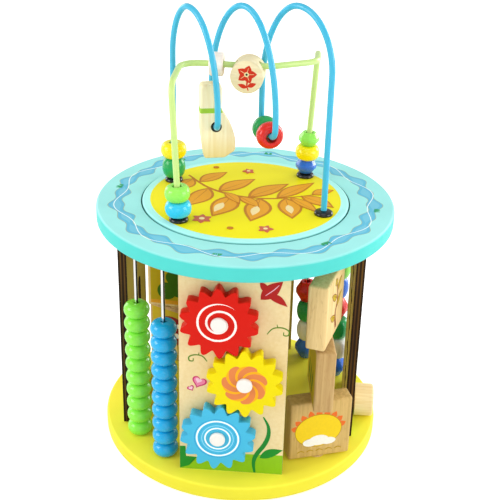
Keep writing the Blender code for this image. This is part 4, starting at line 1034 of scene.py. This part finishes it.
stringSize = {"place": 0.112, "wire": 0.0018, "swing": 0.003, "swingTo": 45, "waves": 1.5, "steps": 60,
              "bead": 0.0118, "height": 0.0225, "pitch": 0.0228, "first": 0.02655, "bore": 0.0038,
              "sides": 40}
stringPlaces = {"right": (123.6, 6), "left": (146.4, 4)}      # azimuth, and how many beads
facetShape = {"sides": 8, "face": 0.4, "belt": 0.12, "edgeRound": 0.0006}
stringPaints = {"blue": lacquerMaterial("blue_lacquered_bead", "#2f6fd8"),
                "white": lacquerMaterial("white_lacquered_bead", "#f6f3ea", shade=0.95),
                "green": lacquerMaterial("green_lacquered_bead", "#22a858"),
                "red": lacquerMaterial("red_lacquered_bead", "#e6251c"),
                "lime": lacquerMaterial("light_green_lacquered_bead", "#9af05c"),
                "yellow": lacquerMaterial("yellow_lacquered_bead", "#ffec08"),
                "cyan": lacquerMaterial("cyan_lacquered_bead", "#34ccf2")}
stringBeads = (("blue", "faceted"), ("white", "round"), ("green", "round"), ("red", "faceted"),
               ("blue", "round"), ("lime", "round"))      # from the lowest up
baseTop, ringBottom = baseSize["thickness"], ringSize["bottom"]


def stringPoint(azimuth, height):
    size = stringSize
    share = (min(max(height, baseTop), ringBottom) - baseTop) / (ringBottom - baseTop)
    swing = size["swing"] * math.sin(fullTurn * size["waves"] * share)
    return around(azimuth, size["place"], height) + around(size["swingTo"], swing)


def wirePiece(node, points, radius, material, body, sides=20):
    bm = bmesh.new()
    line = [bm.verts.new(p) for p in points]
    for a, b in zip(line, line[1:]):
        bm.edges.new((a, b))
    wire = makeObject(pieceName(node), bm, [material])
    runTree(wire, wireTree, Radius=radius, Sides=sides, Finish=material)
    settle(wire, node, body)


# A round bead, or a cut one: eight flat sides round a belt, with the paint softened over its edges
def buildBead(node, kind, radius, height, bore, matrix, colour, sides):
    if kind == "round":
        turnedPiece(node, beadProfile(radius, height, bore), sides, matrix, stringPaints[colour])
        return
    face = bore + (radius - bore) * facetShape["face"]
    belt = height * facetShape["belt"]
    profile = [(bore, height / 2), (face, height / 2), (radius, belt), (radius, -belt), (face, -height / 2),
               (bore, -height / 2)]
    bm = bmesh.new()
    addTurned(bm, profile, facetShape["sides"], matrix)
    bead = makeObject(pieceName(node), bm, [stringPaints[colour]], 20)
    softenEdges(bead, facetShape["edgeRound"], segments=2, angle=15, smoothAngle=20)
    settle(bead, node)


def buildStrings():
    size, steps = stringSize, stringSize["steps"]
    free = [baseTop + (ringBottom - baseTop) * i / steps for i in range(steps + 1)]
    for key, (azimuth, count) in stringPlaces.items():
        points = [stringPoint(azimuth, height) for height in (rodSpan[0], *free, rodSpan[1])]
        wirePiece(key + "_string_wire", points, size["wire"], chrome, "frame")
        for i, (colour, kind) in enumerate(stringBeads[:count]):
            place = stringPoint(azimuth, size["first"] + size["pitch"] * i)
            buildBead("%s_string_bead_%d" % (key, i + 1), kind, size["bead"], size["height"], size["bore"],
                      Matrix.Translation(place), colour, size["sides"])


buildStrings()
print("bead strings done")


# Bead maze: two wires on the lid, in the CAD model's path, with more points

mazeSize = {"wire": 0.0027, "wireSides": 24, "tail": 0.008, "limeHeight": 0.1215, "bore": 0.0041,
            "loopBore": 0.0049, "beadSides": 44, "handle": 0.54}
ferruleSize = {"radius": 0.0083, "height": 0.004, "lip": 0.0008, "shoulder": 0.0012, "grip": 0.9,
               "lift": 0.0001, "steps": 8, "sides": 40}
# Each arch: from where, to where, the heights of its foot, crown and landing, and where its crown is
blueArches = (((-0.0702, 0.0315), (-0.0243, -0.0190), (0.1205, 0.1675, 0.0795), 0.36),
              ((-0.0345, 0.0239), (0.0256, -0.0225), (0.0950, 0.1725, 0.0765), 0.48),
              ((0.0109, 0.0200), (0.0709, -0.0285), (0.1025, 0.1755, 0.1240), 0.50))
# Each low loop: the height and the bend at its front and at its back
blueLoops = (((0.0695, 0.009), (0.0695, 0.009)), ((0.0635, 0.012), (0.0660, 0.007)))
limeFeet = ((-0.0534, -0.0571), (0.0527, 0.0582))
limeCorners = (((-0.0585, -0.0590), 0.012), ((-0.0588, 0.0055), 0.018), ((0.0170, 0.0022), 0.010),
               ((0.0586, 0.0250), 0.010), ((0.0585, 0.0585), 0.008))      # place and bend
# Beads on the wires' feet: the foot, what stands over it, and each bead's kind, radius, height and colour
legBeads = {
    "blue_foot_bead": (blueArches[0][0], blueArches[0][0],
                       (("round", 0.0108, 0.0186, "green"), ("round", 0.0121, 0.0146, "yellow"))),
    "lime_front_bead": (limeFeet[0], limeCorners[0][0],
                        (("round", 0.0115, 0.0140, "cyan"), ("round", 0.0110, 0.0135, "lime"))),
    "lime_back_bead": (limeFeet[1], limeCorners[-1][0],
                       (("faceted", 0.0100, 0.0130, "blue"), ("round", 0.0115, 0.0138, "yellow"),
                        ("faceted", 0.0100, 0.0128, "lime")))}
loopBeads = {"red_loop_bead": (0.0121, 0.0140, "red"), "green_loop_bead": (0.0114, 0.0125, "green")}
loopBeadPlace = {"first": 0.0095, "apart": 0.003, "sag": 0.0014}


def lidPoint(plan, height):
    return Vector((plan[0], plan[1], lidTop + height))


def cubic(start, handleA, handleB, end, steps):
    shares = ((i + 1) / steps for i in range(steps))
    return [(1 - t) ** 3 * start + 3 * t * (1 - t) ** 2 * handleA + 3 * t * t * (1 - t) * handleB
            + t ** 3 * end for t in shares]


def bendAt(before, point, after, reach, steps=10):
    start, end = (point + (other - point).normalized() * reach for other in (before, after))
    return [start] + cubic(start, start.lerp(point, 0.6), end.lerp(point, 0.6), end, steps)


def archPoints(start, end, heights, share, steps=20):
    spring, crown, landing = heights
    handle = mazeSize["handle"]

    def at(part, height):
        return lidPoint([a + (b - a) * part for a, b in zip(start, end)], height)

    rise = spring + (crown - spring) * handle
    fall = landing + (crown - landing) * handle
    upward = cubic(at(0, spring), at(0, rise), at(share * (1 - handle), crown), at(share, crown), steps)
    downward = cubic(at(share, crown), at(share + (1 - share) * handle, crown), at(1, fall),
                     at(1, landing), steps)
    return [at(0, spring)] + upward + downward


def loopEnds(index):
    (front, _), (back, _) = blueLoops[index]
    return lidPoint(blueArches[index][1], front), lidPoint(blueArches[index + 1][0], back)


def bluePath():
    points = [lidPoint(blueArches[0][0], -mazeSize["tail"])]
    for i, arch in enumerate(blueArches):
        points += archPoints(*arch)
        if i < len(blueLoops):
            (_, frontBend), (_, backBend) = blueLoops[i]
            following = blueArches[i + 1]
            a, b = loopEnds(i)
            points += bendAt(lidPoint(arch[1], arch[2][2]), a, b, frontBend)
            points += bendAt(a, b, lidPoint(following[0], following[2][0]), backBend)
    return points + [lidPoint(blueArches[-1][1], -mazeSize["tail"])]


def limePath():
    above = ferruleSize["height"] * 1.5
    first, last = (lidPoint(foot, above) for foot in limeFeet)
    stops = [first] + [lidPoint(p, mazeSize["limeHeight"]) for p, _ in limeCorners] + [last]
    points = [lidPoint(limeFeet[0], -mazeSize["tail"]), first]
    for i, (_, reach) in enumerate(limeCorners):
        points += bendAt(stops[i], stops[i + 1], stops[i + 2], reach)
    return points + [last, lidPoint(limeFeet[1], -mazeSize["tail"])]


# Black moulded ABS: deep and glossy, with the faint grain of the mould
def blackPlastic():
    material, tree = startMaterial("black_moulded_abs", IOR=1.53)
    grain = addNode(tree, "TexNoise", {"Vector": coordinatesAt(tree), "Scale": markScale("mouldGrain"),
                                       "Detail": 2.0})
    colour = addNode(tree, "Mix", {0: grain, 6: "#0c0c0d", 7: "#1c1c1e"}, **asColour)
    return finishMaterial(material, colour, grain, 0.12, 0.25)


def buildFerrules():
    size, wire = ferruleSize, mazeSize["wire"]
    radius, height, steps = size["radius"], size["height"], size["steps"]
    shoulder, inner = wire + size["shoulder"], wire * size["grip"]
    dome = [onCircle(1.0, math.radians(90 - 90 * i / steps)) for i in range(steps + 1)]
    profile = [(inner, height), (wire + size["lip"], height),
               *((shoulder + (radius - shoulder) * across, height * (0.35 + 0.6 * rise))
                 for across, rise in dome),
               (radius, size["lift"]), (inner, size["lift"])]
    bm = bmesh.new()
    for foot in (blueArches[0][0], blueArches[-1][1], *limeFeet):
        addTurned(bm, profile, size["sides"], Matrix.Translation(lidPoint(foot, 0)))
    settle(makeObject("wireFerrules", bm, [blackPlastic()]), "blue_maze_wire", "lid", inPlace=False)


# Powder coat on steel wire: an even, thick colour with a low gloss
def buildMazeWires():
    for key, path, hexText in (("blue", bluePath(), "#3fb6d8"), ("lime", limePath(), "#cae689")):
        powder = lacquerMaterial(key + "_powder_coated_wire", hexText, shade=0.92, roughness=0.3)
        wirePiece(key + "_maze_wire", path, mazeSize["wire"], powder, "lid", mazeSize["wireSides"])
    buildFerrules()


def loopRun(index):
    a, b = loopEnds(index)
    return a, (b - a).normalized()


def buildMazeBeads():
    size = mazeSize
    for prefix, (foot, over, beads) in legBeads.items():
        base = lidPoint(foot, ferruleSize["height"] + 2 * gap)
        lean = (lidPoint(over, size["limeHeight"]) - base).normalized()
        along = 0.0
        for i, (kind, radius, height, colour) in enumerate(beads):
            matrix = facing(lean, base + lean * (along + height / 2))
            buildBead("%s_%d" % (prefix, i + 1), kind, radius, height, size["bore"], matrix, colour,
                      size["beadSides"])
            along += height + gap
    start, along = loopRun(1)
    reach = loopBeadPlace["first"]
    for node, (radius, height, colour) in loopBeads.items():
        centre = start + along * (reach + height / 2) - Vector((0, 0, loopBeadPlace["sag"]))
        buildBead(node, "round", radius, height, size["loopBore"], facing(along, centre), colour,
                  size["beadSides"])
        reach += height + loopBeadPlace["apart"]


buildMazeWires()
buildMazeBeads()
print("bead maze wires and beads done")


# The lime wire's two wooden discs, and the hanging long-necked block

discSize = {"radius": 0.0144, "thickness": 0.024, "drop": 0.0070, "x": -0.0006, "edgeRound": 0.0012,
            "plainRadius": 0.0102, "plainThickness": 0.012, "plainX": -0.0280, "sides": 72, "plainSides": 56}
blossomPrint = {"petals": 5, "turn": 0.25, "heightMm": 2.5, "tipMm": (9.0, 8.2), "veinMm": (6.4, 5.8)}
longNeckSize = {"thickness": 0.0140, "width": 0.0310, "neck": 0.0185, "below": 0.0290, "above": 0.0375,
                "left": 0.0138, "toe": 0.0035, "sole": 0.0180, "heelRise": 0.0065, "bore": 0.0036,
                "holeRing": 0.0048, "edgeRound": 0.0013, "cornerCut": 0.0012, "brow": 0.002,
                "honeyFrom": -0.008, "honeyTo": -0.029, "collar": (0.0125, 0.0170)}


def limeRun(x):
    a, b = (lidPoint(limeCorners[i][0], mazeSize["limeHeight"]) for i in (1, 2))
    along = (b - a).normalized()
    return a + along * ((x - a.x) / along.x), along


def discProfile(radius, thickness, bore):
    soft = discSize["edgeRound"]
    return [(bore, thickness / 2), *roundedCorner(radius - soft, thickness / 2 - soft, soft, 90, 4),
            *roundedCorner(radius - soft, soft - thickness / 2, soft, 0, 4), (bore, -thickness / 2)]


def printBlossom(face):
    blossom = blossomPrint
    middle = blossom["heightMm"]
    angles = [fullTurn * i / blossom["petals"] + blossom["turn"] for i in range(blossom["petals"])]
    tips, veins = ([(across * math.sin(a), middle + rise * math.cos(a)) for a in angles]
                   for across, rise in (blossom["tipMm"], blossom["veinMm"]))
    shapes = [("scarlet", stroke([(1, -2), (0.4, -7), (1.6, -11.5)], (1.6, 1.4, 0.8))),
              ("scarlet", leaf((0.8, -8), (8.5, -5.0), 4.0)), ("scarlet", leaf((0.6, -9), (-7.5, -6.4), 3.8))]
    shapes += [("scarlet", leaf((0, middle), tip, 6.6)) for tip in tips]
    shapes += [("cream", stroke([(0.3 * x, middle + 0.3 * (y - middle)), (x, y)], (0.3, 0.5, 0.2)))
               for x, y in veins]
    shapes += [("cream", spot(0, middle, 2.1)), ("ink", spot(0, middle, 1.0))]
    layPrint("blossomPrint", "picture_disc", face, shapes)


def buildDiscs():
    size = discSize
    point, along = limeRun(size["x"])
    yaw = math.atan2(along.y, along.x)
    centre = point - Vector((0, 0, size["drop"]))
    matrix = upright(centre, yaw)
    bm = bmesh.new()
    addTurned(bm, discProfile(size["radius"], size["thickness"], 0), size["sides"], matrix)
    wood = beechMaterial("sanded_beech_picture_disc", tuple(centre), yaw, "#f7e8c0", "#ecd6a4", along='X',
                         flecks=0.08)
    disc = makeObject("pictureDisc", bm, [wood])
    drill(disc, mazeSize["bore"], facing(along, point))
    settle(disc, "picture_disc")
    printBlossom(matrix @ Matrix.Translation((0, 0, size["thickness"] / 2)))
    point, along = limeRun(size["plainX"])
    pale = beechMaterial("bleached_beech_plain_disc", tuple(point), yaw, "#fbf1e6", "#f0dfd0", along='X',
                         flecks=0.03)
    profile = discProfile(size["plainRadius"], size["plainThickness"], mazeSize["bore"])
    turnedPiece("plain_disc", profile, size["plainSides"], facing(along, point), pale)


# The CAD outline with its corners rounded off
def longNeckOutline():
    size, brow = longNeckSize, longNeckSize["brow"]
    left, low, high = -size["left"], -size["below"], size["above"]
    right, neck, toe = left + size["width"], left + size["neck"], left + size["toe"]
    points = [(toe, low), (toe + size["sole"], low), (right, low + size["heelRise"]), (right, low * 0.4),
              (right - 0.003, -0.001), (neck + 0.004, 0.009), (neck, 0.014), (neck, high - brow),
              (neck - brow, high), (left + brow, high), (left, high - brow), (left - 0.0005, 0)]
    rounded = []
    for a, b, c in zip(points[-1:] + points[:-1], points, points[1:] + points[:1]):
        for other in (a, c):
            length = math.hypot(other[0] - b[0], other[1] - b[1])
            cut = min(size["cornerCut"], length * 0.3) / length
            rounded.append((b[0] + (other[0] - b[0]) * cut, b[1] + (other[1] - b[1]) * cut))
    return rounded


# Pale beech with painted shade, a honey colour that deepens towards the sole, and a green collar painted
# round the neck
def longNeckMaterial(centre, yaw):
    size = longNeckSize
    material = beechMaterial("painted_beech_long_neck", tuple(centre), yaw, "#fbf0cd", "#f0dcaa", flecks=0.06)
    tree = material.node_tree
    wood = tree.nodes["Principled BSDF"].inputs["Base Color"].links[0].from_socket
    height = addNode(tree, "SeparateXYZ", (coordinatesAt(tree, tuple(centre)),), out="Z")
    # painted shade: a darker honey towards the sole
    low = addNode(tree, "MapRange", (height, size["honeyFrom"], size["honeyTo"], 0.0, 0.7))
    wood = addNode(tree, "Mix", {0: low, 6: wood, 7: "#e3c977"}, **asColour)
    isAbove = chain(tree, height, ("Math GREATER_THAN", size["collar"][0]))
    collar = chain(tree, height, ("Math LESS_THAN", size["collar"][1]), ("Math MULTIPLY", isAbove))
    return finishMaterial(material, addNode(tree, "Mix", {0: collar, 6: wood, 7: "#9cc63c"}, **asColour))


def buildLongNeck():
    size = longNeckSize
    start, along = loopRun(0)
    half, inner, outer = size["thickness"] / 2, size["bore"], size["holeRing"]
    middle = start + along * (blueLoops[0][0][1] + half)
    yaw = math.atan2(along.y, along.x) - math.pi / 2
    matrix = upright(middle, yaw)
    bm = bmesh.new()
    addPlate(bm, longNeckOutline(), -half, half, matrix)
    block = makeObject("longNeckBlock", bm, [longNeckMaterial(middle, yaw)])
    softenEdges(block, size["edgeRound"], angle=60)
    drill(block, inner, facing(along, middle))
    settle(block, "animal_block")
    # Painted shade in the drilled hole: its mouth is dark all round, with a ring at each end and a lining
    # between them
    proud, deep, lining = 0.0001, 0.0005, 0.0002
    mouth = bmesh.new()
    for near, far, low, high in ((inner, outer, half - deep, half + proud),
                                 (inner, outer, -half - proud, deep - half),
                                 (inner - proud, inner + lining, -half, half)):
        addTurned(mouth, [(near, high), (far, high), (far, low), (near, low)], drillSides, matrix)
    settle(makeObject("longNeckHolePaintedShade", mouth, [inkMaterial("ink")]), "animal_block", inPlace=False)


buildDiscs()
buildLongNeck()
print("discs and hanging block done")


# Track pieces: a turned knob on the right panel, a flat red slider on the left one

knobSize = {"radius": 0.0158, "length": 0.018, "collar": 0.009, "collarLength": 0.0024, "neck": 0.0033,
            "retainer": 0.009, "retainerThickness": 0.004, "edgeRound": 0.0022, "sides": 64}
sliderSize = {"radius": 0.013, "length": 0.0045, "collar": 0.0, "collarLength": 0.0, "neck": 0.006,
              "retainer": 0.013, "retainerThickness": 0.004, "edgeRound": 0.0015, "sides": 64}


def buildSpool(name, node, azimuth, size, material):
    low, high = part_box(node)
    middle = (low + high) / 2
    outward = around(azimuth, 1.0)
    place = Vector((outward.x * panelFace, middle.y, middle.z))
    radius, soft, neck, retainer = (size[key] for key in ("radius", "edgeRound", "neck", "retainer"))
    back = gap + size["collarLength"]
    front, inner = back + size["length"], -panelSize["thickness"] - gap
    profile = [(0, front), *roundedCorner(radius - soft, front - soft, soft, 90), (radius, back)]
    if size["collarLength"]:
        profile += [(size["collar"], back), (size["collar"], gap)]
    end = inner - size["retainerThickness"]
    profile += [(neck, gap), (neck, inner), (retainer, inner), (retainer, end), (0, end)]
    turnedPiece(node, profile, size["sides"], facing(outward, place), material, name=name)


buildSpool("trackKnob", "right_track_knob", 90, knobSize,
           beechMaterial("turned_beech_knob", (0.12, 0, 0.03), 0.0, "#f6e4b6", "#e6ca90", along='X',
                         flecks=0.06))
buildSpool("trackSlider", "left_track_slider", -90, sliderSize,
           lacquerMaterial("red_lacquered_slider", "#d42a22", roughness=0.3))


# Clock on the back panel: printed dial and figures, lacquered hands, a steel pin

clockSize = {"height": 0.133, "hour": 0.022, "minute": 0.032, "hub": 0.0075, "shoulder": 0.55, "tip": 0.0006,
             "thickness": 0.003, "pin": 0.003, "head": 0.005, "headThickness": 0.002, "depth": 0.006,
             "bore": 0.0034, "edgeRound": 0.0006, "pinSides": 40}
clockHands = {"hour": (0, 305, "#2d62c8"), "minute": (1, 60, "#d8232a")}      # layer, angle, colour
dialPrintMm = {"rim": 45, "face": 42.5, "tickEnd": 41.6, "fiveStart": 38.8, "tickStart": 40.2,
               "fiveWide": 0.9, "tickWide": 0.45, "figures": 33, "figureSize": 9.5, "figureHalf": 0.1,
               "figureLift": 0.95, "rimPoints": 96}


def buildHand(key, layer, angle, hexText):
    size, tip, node = clockSize, clockSize["tip"], "clock_%s_hand" % key
    length, shoulder, thickness = size[key], size["hub"] * size["shoulder"], size["thickness"]
    outline = [onCircle(size["hub"], math.radians(150 + 240 * i / 20)) for i in range(21)]
    outline += [(shoulder, length * 0.7), (tip, length - 0.0004), (0, length), (-tip, length - 0.0004),
                (-shoulder, length * 0.7)]
    place = (0, panelFace + gap + layer * (thickness + gap), size["height"])
    bm = bmesh.new()
    turn = Matrix.Rotation(-math.radians(angle), 4, 'Z')
    addPlate(bm, outline, 0, thickness, upright(place, math.pi) @ turn)
    hand = makeObject(key + "Hand", bm, [lacquerMaterial(node + "_lacquer", hexText)])
    softenEdges(hand, size["edgeRound"], segments=2, angle=50)
    drill(hand, size["bore"], facing((0, 1, 0), place), 0.05)
    settle(hand, node)


def printDial():
    matrix = uprightFace(180, panelFace)
    centre = clockSize["height"] / mm
    dial = dialPrintMm
    shapes = [hill(34, ((20, 30), (-14, 36)), 28),
              ("sky", spot(0, centre, dial["rim"], count=dial["rimPoints"])),
              ("white", spot(0, centre, dial["face"], count=dial["rimPoints"]))]
    for minute in range(60):
        kind = "five" if minute % 5 == 0 else "tick"
        angle = fullTurn * minute / 60
        ends = [(radius * math.sin(angle), centre + radius * math.cos(angle))
                for radius in (dial[kind + "Start"], dial["tickEnd"])]
        shapes.append(("ink", stroke(ends, (dial[kind + "Wide"],) * 3)))
    layPrint("dialPrint", "back_panel", matrix, shapes, "frame")
    bm = bmesh.new()
    for hour in range(1, 13):
        angle = fullTurn * hour / 12
        text = bpy.data.curves.new("figure", 'FONT')
        text.body = str(hour)
        text.size = dial["figureSize"] * mm
        text.align_x, text.align_y = 'CENTER', 'CENTER'
        text.extrude = dial["figureHalf"] * mm
        shape = addObject("figure", text)
        mesh = evaluatedMesh(shape)
        bpy.data.objects.remove(shape)
        across, rise = dial["figures"] * math.sin(angle), dial["figures"] * math.cos(angle)
        place = Vector((across, centre + rise, dial["figureLift"])) * mm
        mesh.transform(matrix @ Matrix.Translation(place))
        bm.from_mesh(mesh)
    bmesh.ops.remove_doubles(bm, verts=bm.verts, dist=1e-6)
    settle(makeObject("dialFigures", bm, [inkMaterial("rose")]), "back_panel", "frame", inPlace=False)


def buildPin():
    size = clockSize
    radius, thickness = size["head"], size["headThickness"]
    back = 2 * (size["thickness"] + gap) + gap
    dome = [onCircle(1.0, math.radians(90 - 15 * i)) for i in range(1, 7)]
    profile = [(0, back + thickness),
               *((radius * across, back + thickness * (0.35 + 0.65 * rise)) for across, rise in dome),
               (radius, back), (size["pin"], back), (size["pin"], -size["depth"]), (0, -size["depth"])]
    place = (0, panelFace, size["height"])
    turnedPiece("clock_pin", profile, size["pinSides"], facing((0, 1, 0), place), chrome, "frame")


printDial()
for key, hand in clockHands.items():
    buildHand(key, *hand)
buildPin()
print("knob, slider and clock done")


# Stage: a white sweep of floor, soft light from both sides, the camera where the photograph was taken

stageSize = {"floorRadius": 8.0, "floorDrop": 0.0002, "floorWhite": 0.9, "floorLift": 0.45, "ambient": 0.66,
             "mirrored": 0.6, "aimHeight": 0.18}
# Soft boxes: where each one hangs, its width and its power in watts
softBoxes = {"leftBox": ((-2.0, -0.85, 1.0), 1.2, 26.0), "rightBox": ((2.0, -0.8, 0.75), 1.2, 22.0),
             "frontBox": ((0.1, -2.2, 0.8), 1.0, 4.0), "topBox": ((0.0, -0.5, 2.3), 1.2, 5.0),
             "backRightBox": ((1.6, 1.3, 0.7), 1.0, 22.0), "backLeftBox": ((-1.6, 1.3, 0.7), 1.0, 10.0)}
cameraSize = {"place": (0.0557, -0.8168, 0.595), "ahead": (-0.0645, 0.998), "pitch": 26.56, "roll": 1.48,
              "lens": 70.50, "sensor": 36, "farthest": 50}


# White paper: matt, with a trace of fibre. As the camera sees it, it has a little light of its own, so that
# it comes out white.
def buildFloor():
    size, white = stageSize, stageSize["floorWhite"]
    bm = bmesh.new()
    bm.faces.new([bm.verts.new((*onCircle(size["floorRadius"], fullTurn * i / 64), -size["floorDrop"]))
                  for i in range(64)])
    material, tree = startMaterial("white_paper_sweep")
    tree.nodes.clear()
    fibre = addNode(tree, "TexNoise", {"Vector": coordinatesAt(tree), "Scale": markScale("paperFibre")})
    tone = addNode(tree, "MapRange", (fibre, 0.0, 1.0, white - 0.01, white + 0.01))
    paper = addNode(tree, "BsdfDiffuse", (tone,))
    rays = addNode(tree, "LightPath", out=None).outputs
    lift = chain(tree, rays["Is Camera Ray"], ("Math MULTIPLY", size["floorLift"]))
    sweep = addNode(tree, "AddShader", (paper, addNode(tree, "Emission", {"Strength": lift})))
    addNode(tree, "OutputMaterial", (sweep,), out=None)
    makeObject("floorSweep", bm, [material])


def buildWorld():
    world = bpy.data.worlds.new("softRoom")
    bpy.context.scene.world = world
    world.use_nodes = True
    tree = world.node_tree
    tree.nodes.clear()
    rays = addNode(tree, "LightPath", out=None).outputs
    unseen = addNode(tree, "MapRange", (rays["Is Glossy Ray"], 0.0, 1.0, stageSize["ambient"],
                                        stageSize["mirrored"]))
    strength = chain(tree, unseen, ("Math MAXIMUM", rays["Is Camera Ray"]))
    room = addNode(tree, "Background", {"Color": (1, 1, 1, 1), "Strength": strength})
    addNode(tree, "OutputWorld", (room,), out=None)


def buildLights():
    for name, (place, width, watts) in softBoxes.items():
        lamp = bpy.data.lights.new(name, 'AREA')
        lamp.energy = watts
        lamp.size = width
        aim = Vector(place) - Vector((0, 0, stageSize["aimHeight"]))
        addObject(name, lamp).matrix_world = (Matrix.Translation(place)
                                              @ aim.to_track_quat('Z', 'Y').to_matrix().to_4x4())


def buildCamera():
    size = cameraSize
    pitch = math.radians(size["pitch"])
    level = Vector(size["ahead"]).normalized()
    ahead = Vector((level.x * math.cos(pitch), level.y * math.cos(pitch), -math.sin(pitch)))
    turn = ahead.to_track_quat('-Z', 'Y').to_matrix().to_4x4()
    turn = turn @ Matrix.Rotation(math.radians(size["roll"]), 4, 'Z')
    data = bpy.data.cameras.new("photoCamera")
    data.lens = size["lens"]
    data.sensor_width = size["sensor"]
    data.clip_end = size["farthest"]
    camera = addObject("photoCamera", data)
    camera.matrix_world = Matrix.Translation(size["place"]) @ turn
    bpy.context.scene.camera = camera


buildFloor()
buildWorld()
buildLights()
buildCamera()
bpy.context.scene.view_settings.view_transform = 'Standard'
print("stage done")
